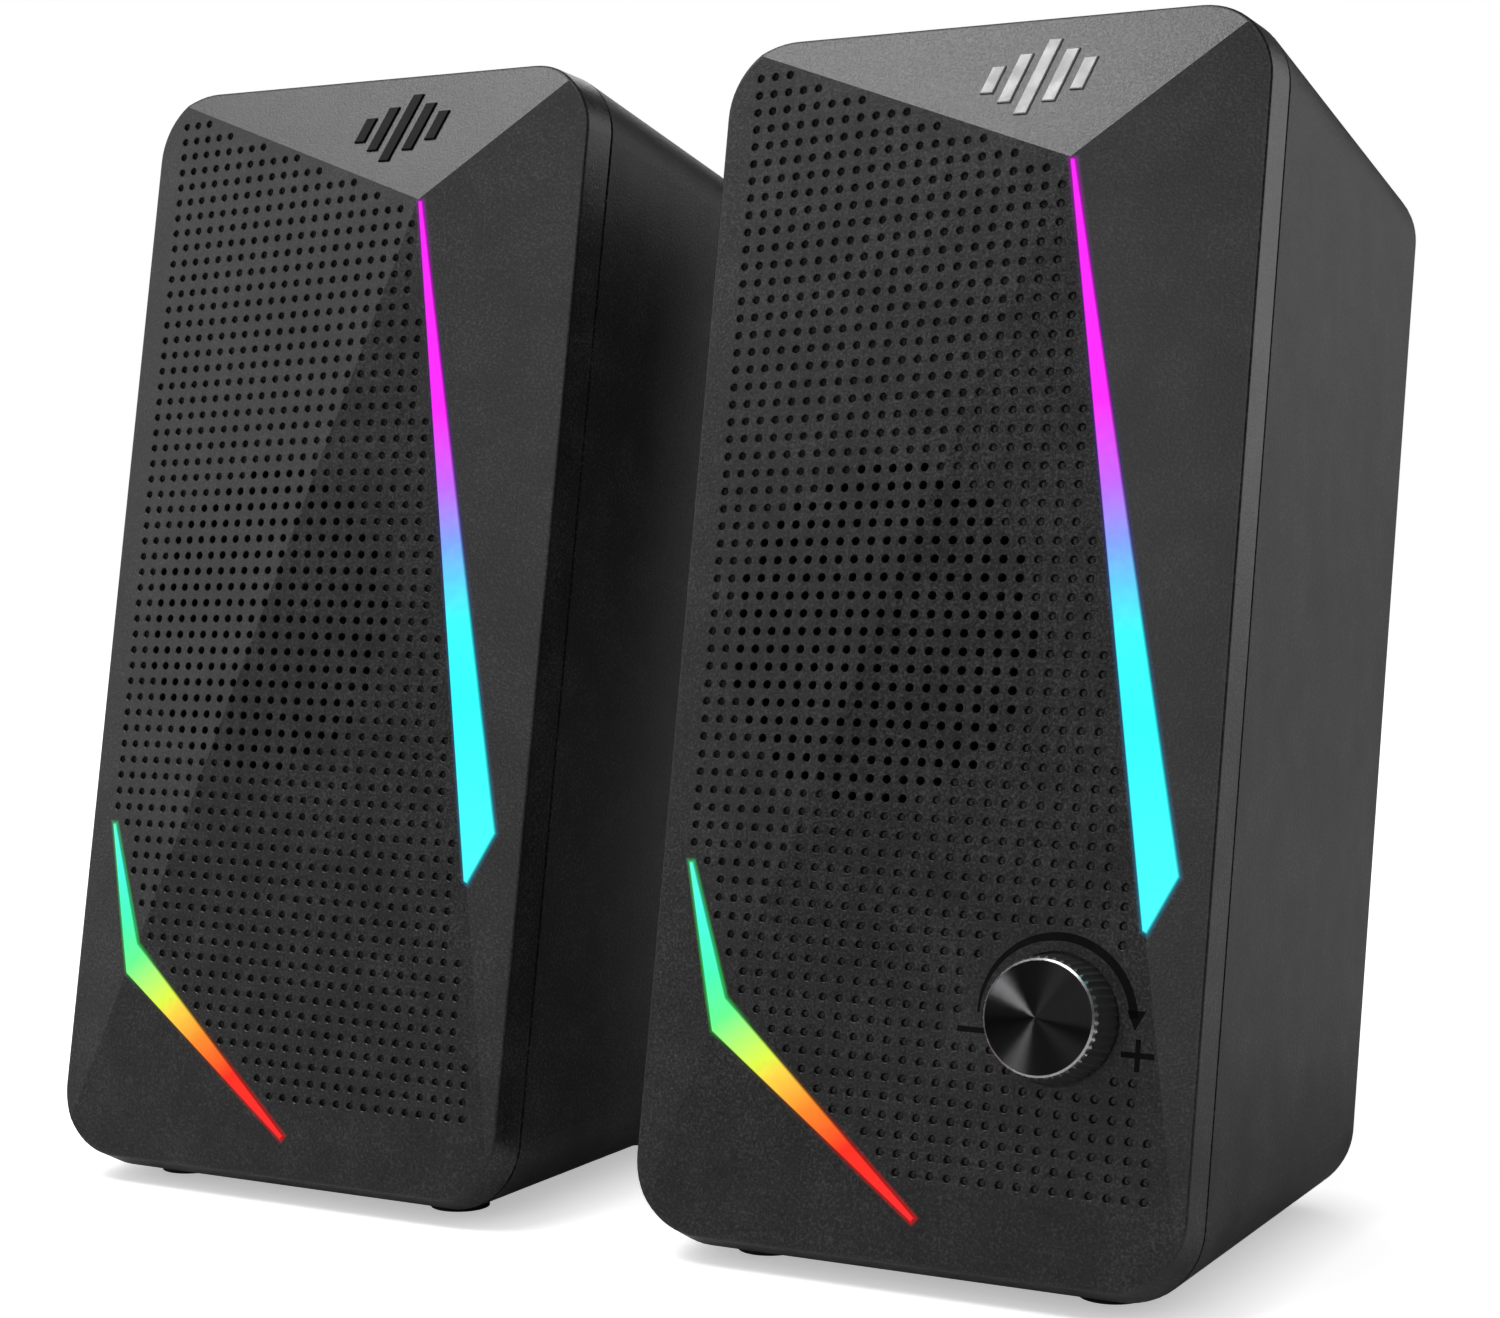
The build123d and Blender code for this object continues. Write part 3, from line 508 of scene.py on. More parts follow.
def front_panel(side, plastics):
    """The perforated, faceted front as one closed skin, and its side wall."""
    opened, blind = hole_centres(side)
    loops = [case_outline(EDGE_R), case_outline(RIM_INSET)]
    loops += [bar_outline(bar, LENS_CLEAR) for bar in (LONG_BAR, SHORT_BAR)]
    pocket, bore = (4, 5) if side == "right" else (None, None)
    if pocket:
        loops += [circle(KNOB, POCKET_R, 64), circle(KNOB, BUSH_R, 32)]
    first_hole = len(loops)
    mouth = HOLE_R + HOLE_LIP
    loops += [circle(c, mouth, HOLE_SIDES, pi / HOLE_SIDES) for c in opened + blind]
    flat, triangles, owners = triangulated(loops, creases())
    flat = [Vector(p) for p in flat]
    through = set(range(2, first_hole + len(opened))) - {pocket}
    patches = {}
    shell = Shell()
    front = ring_at(shell, range(len(flat)), flat, 0.0)
    back = ring_at(shell, range(len(flat)), flat, SKIN)
    pocket_floor = shell.add([(p.x, POCKET_FLOOR, p.y) for p in flat])
    for triangle, inside in zip(triangles, owners):
        if 0 not in inside:
            continue
        features = inside - {0, 1}
        for number in features:
            patches.setdefault(number, []).append(triangle)
        patches.setdefault("front", []).append(triangle)
        if 1 in inside:
            patches.setdefault("back", []).append(triangle)
        if not features:
            shell.face([front[i] for i in triangle])
        if 1 in inside and not features & through:
            shell.face([back[i] for i in reversed(triangle)])
        if features == {pocket}:
            shell.face([pocket_floor[i] for i in triangle])
    for number in range(2, first_hole):
        ring = outline_of(patches[number])
        start = pocket_floor if number == bore else front
        end = pocket_floor if number == pocket else back
        shell.wall([start[i] for i in ring], [end[i] for i in ring])
    for number, centre in enumerate(opened + blind, first_hole):
        centre = Vector(centre)
        ring = outline_of(patches[number])
        tangents = round_tangents(centre, flat, ring)
        steps = [(HOLE_R, HOLE_LIP)] if number in through else DIMPLE
        last = [front[i] for i in ring]
        for radius, depth in steps:
            following = hole_ring(shell, centre, flat, ring, radius, depth)
            shell.wall(last, following, tangents)
            last = following
        if number in through:
            shell.wall(last, [back[i] for i in ring], tangents)
        else:
            shell.cap(last, (centre.x, surface(*centre) + DIMPLE[-1][1] + DIMPLE_TIP, centre.y))
    panel_rim(shell, [front[i] for i in outline_of(patches["front"])],
              [back[i] for i in outline_of(patches["back"])])
    shell.piece(f"{side}_perforated_front", place(side), plastics, HOST[side], "panel_plastic",
                [f"{side}_front_panel"])


# ---- light bars, mark and print --------------------------------------
def plate(shell, outline, proud, sunk, bevel=0.0):
    """A closed plate that follows the facets, proud of them and sunk behind them."""
    loops = [outline, grown(outline, -bevel)] if bevel else [outline]
    flat, triangles, owners = triangulated(loops, creases())
    kept = [triangle for triangle, inside in zip(triangles, owners) if 0 in inside]
    ring = outline_of(kept)
    edge = set(ring)
    depths = [(bevel if i in edge else 0.0) - proud for i in range(len(flat))]
    front = shell.add([(p[0], surface(*p) + d, p[1]) for p, d in zip(flat, depths)])
    back = shell.add([(p[0], surface(*p) + sunk, p[1]) for p in flat])
    for triangle in kept:
        shell.face([front[i] for i in triangle])
        shell.face([back[i] for i in reversed(triangle)])
    shell.wall([back[i] for i in ring], [front[i] for i in ring])


def light_bar(side, name, bar, material):
    shell = Shell()
    plate(shell, bar_outline(bar), LENS_PROUD, SKIN, LENS_BEVEL)
    shell.piece(f"{side}_{name}_diffuser", place(side), [material], HOST[side], "light_diffuser",
                [f"{side}_{name}_light_lens"])


def emblem(side, material):
    """The mark: five slanted bars like a level meter."""
    shell = Shell()
    middle = (len(EMBLEM_HEIGHTS) - 1) / 2
    for i, height in enumerate(EMBLEM_HEIGHTS):
        half, up = EMBLEM_BAR_W / 2, height / 2
        lean = EMBLEM_SLANT * up
        x, z = EMBLEM_CENTRE[0] + (i - middle) * EMBLEM_STEP, EMBLEM_CENTRE[1]
        corners = [(x - half - lean, z - up), (x + half - lean, z - up),
                   (x + half + lean, z + up), (x - half + lean, z + up)]
        plate(shell, corners, EMBLEM_PROUD, EMBLEM_SUNK, EMBLEM_BEVEL)
    # the right speaker's emblem gets the finish with the painted reflection
    shell.piece(f"{side}_emblem_inlay", place(side), [material], HOST[side],
                "emblem_gloss" if side == "left" else "emblem_silver", [f"{side}_emblem_bars"])


def arc_outline():
    """The arc over the knob: it swells from a thin start at the left to its full width at the top."""
    edges = ([], [])
    for i in range(ARC_STEPS + 1):
        angle = radians(ARC_END + (180 - ARC_END) * i / ARC_STEPS)
        share = min(1.0, (pi - angle) / (pi / 2))
        width = ARC_TIP_W + (ARC_W - ARC_TIP_W) * share
        middle = ARC_R + ARC_TIP_OUT * (1 - share)
        for edge, reach in zip(edges, (middle + width / 2, middle - width / 2)):
            edge.append((KNOB[0] + reach * cos(angle), KNOB[1] + reach * sin(angle)))
    return edges[0] + edges[1][::-1]


def rectangle(centre, width, height):
    x, z = width / 2, height / 2
    return [(centre[0] + dx, centre[1] + dz) for dx, dz in ((-x, -z), (x, -z), (x, z), (-x, z))]


def volume_marks(material):
    """Arc with its arrowhead, minus and plus, printed round the knob."""
    shell = Shell()
    across, up, half = SIGN_W / 2, PLUS_H / 2, STROKE / 2
    slim = half * UPRIGHT
    lower = [(-slim, -up), (slim, -up), (slim, -half), (across, -half), (across, half), (slim, half)]
    plus = [(PLUS[0] + turn * x, PLUS[1] + turn * z) for turn in (1, -1) for x, z in lower]
    for outline in (arc_outline(), ARROW, plus, rectangle(MINUS, SIGN_W, STROKE)):
        plate(shell, outline, PRINT_T, PRINT_SUNK)
    shell.piece("right_volume_marks", place("right"), [material], HOST["right"], "emblem_gloss")


# ---- volume knob -----------------------------------------------------
def knob_rings(shell, profile, count):
    """Rings about the knob's axis, and the tangents along them. The profile gives each one's radius and
    depth, and how deep the hollows between its teeth are."""
    angles = [2 * pi * i / count for i in range(count)]
    rings = []
    for radius, depth, tooth in profile:
        rings.append(shell.add([around(KNOB, radius - tooth * abs(sin(angle * KNOB_TEETH / 2)), depth, angle)
                                for angle in angles]))
    return rings, tangents_at(angles)


def knob_body(material):
    """Toothed, slightly tapered side of the knob, hollow behind."""
    shell = Shell()
    shoulder, foot = KNOB_FRONT + RIM_DEPTH, KNOB_BACK - 0.4
    bore_r, bore_end = BORE[0], KNOB_FRONT + BORE[1]
    profile = []
    for t in (0.0, 0.25, 0.5, 0.75, 1.0):
        radius = KNOB_FRONT_R + (KNOB_BASE_R - KNOB_FRONT_R) * t
        profile.append((radius, shoulder + (foot - shoulder) * t, TOOTH_DEPTH))
    profile += [(KNOB_BASE_R - 0.15, KNOB_BACK, 0.1), (bore_r, KNOB_BACK, 0.0), (bore_r, bore_end, 0.0)]
    rings, _ = knob_rings(shell, profile, KNOB_STEPS)
    for front, back in zip(rings, rings[1:]):
        shell.wall(back, front)
    shell.cap(rings[-1], (KNOB[0], bore_end, KNOB[1]), flip=True)
    return shell.piece("right_knob_grip", place("right"), [material], "volume_knob", "knob_dark_metal",
                       ["right_knob_body"])


def knob_rim(material):
    """Bright cut rim that runs out over the teeth."""
    shell = Shell()
    cut = 0.3
    profile = [(KNOB_FACE_R - 0.1, KNOB_FRONT + cut, 0.0), (KNOB_FACE_R, KNOB_FRONT + 0.02, 0.0),
               (KNOB_FACE_R + cut, KNOB_FRONT + cut, 0.0),
               (KNOB_FRONT_R, KNOB_FRONT + RIM_DEPTH, TOOTH_DEPTH)]
    rings, tangents = knob_rings(shell, profile, KNOB_STEPS)
    for front, back in zip(rings, rings[1:]):
        shell.wall(back, front, tangents)
    return shell.piece("right_knob_rim", place("right"), [material], "volume_knob", "knob_spun_metal")


def knob_face(material):
    """Spun disc, very slightly coned."""
    count, steps = 144, 12
    shell = Shell()
    rim, front = KNOB_FACE_R - 0.04, KNOB_FRONT + 0.05
    profile = [(rim, KNOB_FRONT + 0.5, 0.0)]
    for k in range(steps + 1):
        radius = rim * (1 - k / (steps + 0.5))
        profile.append((radius, front - DISC_RISE * (1 - radius / rim), 0.0))
    rings, tangents = knob_rings(shell, profile, count)
    for outer, inner in zip(rings, rings[1:]):
        shell.wall(outer, inner, tangents)
    shell.cap(rings[-1], (KNOB[0], front - DISC_RISE, KNOB[1]))
    made = shell.piece("right_knob_disc", place("right"), [material], "volume_knob", "knob_spun_metal",
                       ["right_knob_face"])
    spin_map(made, rim)
    return made


def spin_map(made, rim):
    """Turn and share of the radius, as a UV map whose u runs round the disc."""
    spin = made.data.uv_layers.new(name="spin")
    to_leaned = place("right").inverted()
    for polygon in made.data.polygons:
        middle = to_leaned @ polygon.center
        about = atan2(middle.z - KNOB[1], middle.x - KNOB[0])
        for loop in polygon.loop_indices:
            p = to_leaned @ made.data.vertices[made.data.loops[loop].vertex_index].co
            reach = hypot(p.x - KNOB[0], p.z - KNOB[1])
            angle = atan2(p.z - KNOB[1], p.x - KNOB[0]) if reach > 0.01 else about
            angle += 2 * pi * round((about - angle) / (2 * pi))
            spin.data[loop].uv = (angle / (2 * pi), reach / rim)


# ---- the driver's soft rings -----------------------------------------
def surround_profile():
    """Half-roll edge, as (radius, depth): its outer lip lies on the flange, its inner one on the cone."""
    middle, roll, wall, base, sunk = 23.6, 1.9, 0.4, 5.9, 0.1
    outside, inside, steps = 26.6, 20.9, 10
    turns = [pi * i / steps for i in range(steps + 1)]
    outer = [(middle - roll * cos(a), base - roll * sin(a)) for a in turns]
    inner = [(middle + (roll - wall) * cos(a), base - (roll - wall) * sin(a)) for a in turns]
    lip_out = [(outside, base - wall), (outside, base + sunk), (middle + roll - wall, base + sunk)]
    lip_in = [(middle - roll + wall, base + wall), (inside, base + wall), (inside, base)]
    return outer + lip_out + inner + lip_in


def spider_profile():
    """Corrugated ring, as (radius, depth): its rim lies on the basket's ledge, its mouth on the coil."""
    waves, start, end, height, level, wall = 5, 7.3, 17.0, 0.7, 16.85, 0.35
    collar, rim_in, rim_out, rim_t = 0.7, 17.4, 19.9, 0.4
    front = []
    for i in range(2 * waves + 1):
        radius = start + collar + (end - start - collar) * i / (2 * waves)
        front.append((radius, level + (height if i % 2 else -height)))
    rim = [(rim_out, LEDGE_Y - rim_t), (rim_out, LEDGE_Y), (rim_in, LEDGE_Y)]
    back = [(radius, depth + wall) for radius, depth in reversed(front)]
    return [(start, level)] + front + rim + back + [(start, level + wall)]


def soft_ring(side, part, slot, material, profile, flex):
    """A ring between the basket and the cone, in sectors. For each, the points at the two radii of flex
    along its own middle are handed to piece as flex."""
    matrix = place(side)
    for number in range(SECTORS):
        shell = Shell()
        turns = [2 * pi * (number + k / SECTOR_STEPS) / SECTORS for k in range(SECTOR_STEPS + 1)]
        slices = [shell.add([around(DRIVER, *point, turn) for point in profile]) for turn in turns]
        for here, there in zip(slices, slices[1:]):
            shell.wall(here, there)
        shell.face(slices[0][::-1])
        shell.face(slices[-1])
        middle = (turns[0] + turns[-1]) / 2
        ends = [matrix @ Vector(around(DRIVER, radius, 0.0, middle)) for radius in flex]
        shell.piece(f"{side}_{part}_{number + 1:02d}", matrix, [material], (HOST[side], CONE_BODY[side]),
                    slot, [f"{side}_driver_{part}"], ends)


# ---- materials -------------------------------------------------------
PANEL_TONE = (0.012, 0.012, 0.0123)
PANEL_ROUGHNESS = 0.36
# The side wall's plastic is the front's, painted lighter in tone for the light that it catches: painted
# light.
SIDE_PAINTED_LIGHT_TONE = (0.032, 0.032, 0.0325)
SIDE_ROUGHNESS = 0.34
BAR_STRENGTH = 1.05
BAR_EDGE = 0.22          # width of a bar's deeper edge, and how bright it is
BAR_EDGE_LIGHT = 0.3
GLOW = 1.4               # painted light: a glow for the light that a bar spills on the panel, its reach in millimetres, its fading
GLOW_REACH = 0.7
GLOW_FADE = 1.5
WEAVE_SCALE = 320.0      # bands across a metre or, for the spun disc, across its radius
WINDING_SCALE = 1500.0
SPUN_SCALE = 60.0
SLOT_SHADE = (0.05, 0.45)       # painted shade: the panel goes from black to its own tone between these gaps from a bar

# tone, roughness, and size, contrast and relief of the grain, by material slot
PLAIN_FINISHES = {
    "circuit_board": ((0.012, 0.07, 0.03), 0.4, 1.2, 0.3),
    "led_package": ((0.8, 0.8, 0.76), 0.4),
    "gasket_rubber": ((0.02, 0.02, 0.02), 0.9, 0.5, 0.3, 0.05),
    "black_steel": ((0.02, 0.02, 0.021), 0.45, 0.4, 0.2, 0.01),
    "cone_paper": ((0.03, 0.03, 0.03), 0.8, 0.5, 0.3, 0.03),
    "surround_rubber": ((0.015, 0.015, 0.015), 0.55, 0.5, 0.2, 0.01),
    "ferrite": ((0.05, 0.05, 0.052), 0.6, 0.6, 0.3, 0.03),
    "wire_insulation": ((0.3, 0.012, 0.012), 0.45),
    "foot_rubber": ((0.015, 0.015, 0.015), 0.8, 0.5, 0.3, 0.03),
    "jack_plastic": ((0.012, 0.012, 0.012), 0.3, 0.5, 0.2, 0.004),
    "component_black": ((0.02, 0.02, 0.022), 0.5),
}
METAL_FINISHES = {
    "plated_steel": ((0.55, 0.55, 0.56), 0.32, 0.6, 0.12, 0.004),
    "screw_steel": ((0.09, 0.09, 0.092), 0.35, 0.3, 0.2, 0.006),
    "heatsink_aluminium": ((0.5, 0.5, 0.52), 0.4, 0.4, 0.1, 0.006),
}


class Finish:
    """A material with one Principled shader, and short calls for the nodes used here."""

    def __init__(self, name, tone, roughness, **sockets):
        self.material = bpy.data.materials.new(name)
        self.material.use_nodes = True
        self.tree = self.material.node_tree
        self.shader = self.tree.nodes["Principled BSDF"]
        self.give("Base Color", (*tone, 1.0))
        self.give("Roughness", roughness)
        for socket, value in sockets.items():
            self.give(socket.replace("_", " ").title().replace("Ior", "IOR"), value)
        self.place = self.tree.nodes.new("ShaderNodeTexCoord").outputs["Object"]

    def node(self, kind, inputs=(), **settings):
        made = self.tree.nodes.new(kind)
        for key, value in settings.items():
            setattr(made, key, value)
        for socket, value in dict(inputs).items():
            self.feed(made.inputs[socket], value)
        return made

    def feed(self, socket, value):
        """Links a socket, or sets it when value is plain."""
        if hasattr(value, "is_linked"):
            self.tree.links.new(value, socket)
        else:
            socket.default_value = value

    def give(self, socket, value):
        """The same for a socket of the shader."""
        self.feed(self.shader.inputs[socket], value)

    def math(self, operation, first, second=0.0, clamp=False):
        made = self.node("ShaderNodeMath", {0: first, 1: second}, operation=operation, use_clamp=clamp)
        return made.outputs[0]

    def vector(self, operation, first, second):
        made = self.node("ShaderNodeVectorMath", {0: first, 1: second}, operation=operation)
        return made.outputs["Value" if operation == "DOT_PRODUCT" else "Vector"]

    def noise(self, size, detail=2.0):
        """Noise with features of about this size, in millimetres."""
        inputs = {"Vector": self.place, "Scale": 1 / (size * MM), "Detail": detail}
        return self.node("ShaderNodeTexNoise", inputs).outputs["Fac"]

    def spread(self, factor, low, high, start=0.3, end=0.7):
        """Factor from start to end becomes low to high."""
        inputs = {"Value": factor, "From Min": start, "From Max": end, "To Min": low, "To Max": high}
        return self.node("ShaderNodeMapRange", inputs).outputs["Result"]

    def ramp(self, factor, stops):
        """Colour along stops of (place, colour)."""
        made = self.node("ShaderNodeValToRGB", {"Fac": factor})
        elements = made.color_ramp.elements
        elements[0].position, elements[1].position = stops[0][0], stops[-1][0]
        elements[0].color, elements[1].color = (*stops[0][1], 1.0), (*stops[-1][1], 1.0)
        for position, colour in stops[1:-1]:
            elements.new(position).color = (*colour, 1.0)
        return made.outputs["Color"]

    def bump(self, height, depth):
        """Relief of this depth, in millimetres."""
        made = self.node("ShaderNodeBump", {"Distance": depth * MM, "Height": height})
        self.give("Normal", made.outputs["Normal"])

    def leaned(self, side):
        """Position in the speaker's leaned frame, in millimetres."""
        inputs = {"Vector": self.place, "Location": place(side).translation,
                  "Rotation": (-LEAN, 0.0, 0.0), "Scale": (MM, MM, MM)}
        return self.node("ShaderNodeMapping", inputs, vector_type="TEXTURE").outputs["Vector"]


def shade(tone, factor):
    return tuple(min(1.0, channel * factor) for channel in tone)


def linear(code):
    """Linear colour of a display colour written as six hex digits."""
    values = [int(code[i:i + 2], 16) / 255 for i in (0, 2, 4)]
    return tuple(v / 12.92 if v < 0.04045 else ((v + 0.055) / 1.055) ** 2.4 for v in values)


def moulded(name, tone, roughness, grain=0.4, relief=0.045, gloss=0.06, peak=3.8):
    """Finely textured plastic: a dense speckle in tone, gloss and relief, with a faint cloudiness."""
    finish = Finish(name, tone, roughness, specular_ior_level=0.5)
    speckle = finish.noise(grain, 3.0)
    cloud = finish.noise(9.0, 1.0)
    mixed = finish.math("MULTIPLY_ADD", cloud, 0.25)
    finish.feed(mixed.node.inputs[2], speckle)
    colour = finish.ramp(finish.spread(mixed, 0.0, 1.0, 0.42, 0.86),
                         [(0.0, shade(tone, 0.1)), (0.5, tone), (1.0, shade(tone, peak))])
    finish.give("Base Color", colour)
    finish.give("Roughness", finish.spread(speckle, roughness - gloss, roughness + gloss))
    finish.bump(speckle, relief)
    return finish


def bar_gap(finish, position, bar, bend):
    """Distance outside a light bar, in millimetres, negative inside it. The bar's outline bends
    inwards where the edges number bend and bend + 1 meet, if bend is given."""
    gaps = []
    for start, end in zip(bar, bar[1:] + bar[:1]):
        way = Vector((end[1] - start[1], start[0] - end[0])).normalized()
        reach = finish.vector("DOT_PRODUCT", position, (way.x, 0.0, way.y))
        gaps.append(finish.math("SUBTRACT", reach, way.dot(Vector(start))))
    if bend:
        gaps.append(finish.math("MINIMUM", gaps.pop(bend), gaps.pop(bend)))
    total = gaps[0]
    for gap in gaps[1:]:
        total = finish.math("MAXIMUM", total, gap)
    return total


def run_colour(finish, position, run, colours):
    """Colour along a light bar."""
    start, way, length = run
    along = finish.vector("DOT_PRODUCT", position, (way[0] / length, 0.0, way[1] / length))
    offset = (start[0] * way[0] + start[1] * way[1]) / length
    share = finish.math("SUBTRACT", along, offset, clamp=True)
    return finish.ramp(share, [(stop, linear(code)) for stop, code in colours])


# outline, inward bend, run of the colours, colours and painted halo of each light bar
BARS = {"long": (LONG_BAR, None, LONG_RUN, LONG_COLOURS, LONG_HALO),
        "short": (SHORT_BAR, 3, SHORT_RUN, SHORT_COLOURS, SHORT_HALO)}


def panel_finish(side):
    """The front's plastic, with painted shade at the slots' edges, and a painted glow for the light that the
    bars spill on it.
    """
    finish = moulded(f"{side}_panel_plastic", PANEL_TONE, PANEL_ROUGHNESS)
    position = finish.leaned(side)
    total = None
    plain = finish.shader.inputs["Base Color"].links[0].from_socket
    for bar, bend, run, _, halo in BARS.values():
        away = bar_gap(finish, position, bar, bend)
        # painted light: the panel glows near the bar
        near = finish.math("POWER", finish.spread(away, 1.0, 0.0, 0.0, GLOW_REACH), GLOW_FADE)
        lit = finish.vector("MULTIPLY", run_colour(finish, position, run, halo), near)
        total = lit if total is None else finish.vector("ADD", total, lit)
        # painted shade at the slot's edge
        plain = finish.vector("MULTIPLY", plain, finish.spread(away, 0.0, 1.0, *SLOT_SHADE))
    finish.give("Base Color", plain)
    finish.give("Emission Color", total)
    finish.give("Emission Strength", GLOW)
    return finish.material


def diffuser_finish(side, name):
    """Lit milky plastic: colours run along the bar and deepen at its edge."""
    bar, bend, run, colours, _ = BARS[name]
    finish = Finish(f"{side}_{name}_diffuser", (0.003, 0.003, 0.003), 0.4, specular_ior_level=0.05)
    position = finish.leaned(side)
    edge = finish.spread(bar_gap(finish, position, bar, bend), 1.0, BAR_EDGE_LIGHT, -BAR_EDGE, 0.0)
    haze = finish.spread(finish.noise(1.6), 0.96, 1.04)
    level = finish.math("MULTIPLY", edge, haze)
    lit = finish.vector("MULTIPLY", run_colour(finish, position, run, colours), level)
    finish.give("Emission Color", lit)
    finish.give("Emission Strength", BAR_STRENGTH)
    return finish.material


def worn(name, tone, roughness, size=0.8, contrast=0.15, relief=0.01, **sockets):
    """A plain finish with fine variation in tone, gloss and relief."""
    finish = Finish(name, tone, roughness, **sockets)
    grain = finish.noise(size, 3.0)
    tones = [(0.0, shade(tone, 1 - contrast)), (1.0, shade(tone, 1 + contrast))]
    finish.give("Base Color", finish.ramp(finish.spread(grain, 0.0, 1.0), tones))
    patches = finish.noise(size * 5)
    finish.give("Roughness", finish.spread(patches, roughness * 0.85, roughness * 1.15))
    finish.bump(grain, relief)
    return finish.material


def spun(name, tone, roughness):
    """Dark turned metal: its fine grooves draw reflections out into spokes."""
    finish = Finish(name, tone, roughness, metallic=1.0, anisotropic=1.0, anisotropic_rotation=0.25)
    tangent = finish.node("ShaderNodeTangent", direction_type="UV_MAP", uv_map="spin")
    finish.give("Tangent", tangent.outputs["Tangent"])
    uv = finish.node("ShaderNodeUVMap", uv_map="spin").outputs["UV"]
    reach = finish.node("ShaderNodeSeparateXYZ", {"Vector": uv}).outputs["Y"]
    turns = finish.node("ShaderNodeTexNoise", {"W": reach, "Scale": SPUN_SCALE}, noise_dimensions="1D")
    colour = finish.ramp(turns.outputs["Fac"], [(0.3, shade(tone, 0.8)), (0.7, shade(tone, 1.2))])
    finish.give("Base Color", colour)
    finish.bump(turns.outputs["Fac"], 0.004)
    return finish.material


def weave(name, tone):
    """Open cotton weave."""
    finish = Finish(name, tone, 0.85)
    threads = []
    for axis in ("X", "Z"):
        inputs = {"Vector": finish.place, "Scale": WEAVE_SCALE}
        wave = finish.node("ShaderNodeTexWave", inputs, bands_direction=axis)
        threads.append(wave.outputs["Fac"])
    height = finish.math("MAXIMUM", *threads)
    finish.give("Base Color", finish.ramp(height, [(0.2, shade(tone, 0.5)), (0.9, tone)]))
    finish.bump(height, 0.1)
    return finish.material


def winding(name, tone):
    """Enamelled copper wire, wound turn by turn."""
    finish = Finish(name, tone, 0.3, metallic=1.0)
    inputs = {"Vector": finish.place, "Scale": WINDING_SCALE}
    wave = finish.node("ShaderNodeTexWave", inputs, bands_direction="Y")
    tones = [(0.0, shade(tone, 0.6)), (1.0, tone)]
    finish.give("Base Color", finish.ramp(wave.outputs["Fac"], tones))
    finish.bump(wave.outputs["Fac"], 0.05)
    return finish.material


# ---- camera, lights, floor -------------------------------------------
CAMERA_PLACE = (0.2304, -0.4240, 0.1157)
CAMERA_DIP = 5.30        # degrees below the level, and of turn to the left
CAMERA_TURN = 28.07
CAMERA_LENS = 66.31
CAMERA_SHIFT = 0.0784
# name, radiance, width, height, azimuth, elevation and distance of each light
SOFTBOXES = [("key_left", 5.8, 0.6, 0.6, -56, 52, 1.5),
             ("key_right", 8.5, 0.5, 0.5, -29, 60, 1.5),
             ("front_box", 1.6, 0.9, 0.9, 5, 20, 1.8),
             ("left_box", 1.25, 0.6, 1.0, -56, 20, 1.6),
             ("far_left_box", 0.8, 0.7, 1.2, -77, 18, 1.6),
             ("rightback_box", 1.3, 0.9, 0.9, 142, 14, 1.7),
             ("back_box", 1.6, 0.8, 0.8, 205, 32, 1.8)]
# the same without a distance, and square
DISC_ACCENTS = [("disc_accent_up", 75.0, 0.1, -36, 16), ("disc_accent_low", 200.0, 0.1, -30, -9)]
RIM_ACCENTS = [("rim_accent_top", 3.0, 0.8, 10, 65), ("rim_accent_left", 3.0, 0.6, -20, 80)]
GRIP_ACCENTS = [("grip_accent", 3.0, 0.4, 70, 62)]
AMBIENT = 0.09
FLOOR_REACH = 8.0        # half the floor's width, in metres
FLOOR_GLOW = 0.85        # glow of its middle, which grows to 1 between these distances, in metres
FLOOR_FADE = (0.25, 1.2)
SHADE = 0.5              # what is left of the glow right under the speakers, where a shadow is painted into it
SHADE_REACH = 0.012      # how far the painted shadow of the speakers reaches, in metres


def cad_finishes():
    """One finish for each material slot of the CAD pieces that stay in view."""
    made = {slot: worn(slot, *look) for slot, look in PLAIN_FINISHES.items()}
    made |= {slot: worn(slot, *look, metallic=1.0) for slot, look in METAL_FINISHES.items()}
    made["cabinet_plastic"] = moulded("cabinet_plastic", (0.016, 0.016, 0.0163), 0.46, grain=0.44,
                                      relief=0.075, gloss=0.09, peak=6.0).material
    made["spider_cloth"] = weave("spider_cloth", (0.45, 0.3, 0.12))
    made["coil_copper"] = winding("coil_copper", (0.72, 0.3, 0.15))
    return made


def dress_cad(finishes):
    """Gives each CAD piece the finish of its slot."""
    for part in frame["record"]["subparts"]:
        node, finish = frame["nodes"][part["node"]], finishes.get(part["material_slot"])
        if finish is None:
            continue
        if not node.data.materials:
            node.data.materials.append(finish)
        for slot in node.material_slots:
            slot.material = finish


def camera():
    data = bpy.data.cameras.new("camera")
    data.sensor_width = 36.0
    data.lens = CAMERA_LENS
    data.shift_y = CAMERA_SHIFT
    data.clip_start = 0.02
    data.clip_end = 50.0
    made = put("camera", data)
    made.location = CAMERA_PLACE
    made.rotation_euler = (radians(90 - CAMERA_DIP), 0.0, radians(CAMERA_TURN))
    bpy.context.scene.camera = made


def direction(azimuth, elevation):
    """Unit vector, with azimuth 0 towards the front, and growing to the right."""
    turn, rise = radians(azimuth), radians(elevation)
    return Vector((sin(turn) * cos(rise), -cos(turn) * cos(rise), sin(rise)))


def softbox(name, radiance, width, height, azimuth, elevation, distance, aim=(0.0, 0.0, 0.1)):
    """A rectangular light of even radiance, facing aim."""
    way = direction(azimuth, elevation)
    data = bpy.data.lights.new(name, "AREA")
    data.shape = "RECTANGLE"
    data.size, data.size_y = width, height
    data.energy = radiance * pi * width * height
    made = put(name, data)
    made.location = Vector(aim) + way * distance
    made.rotation_euler = way.to_track_quat("Z", "Y").to_euler()
    made.visible_camera = False
    return made


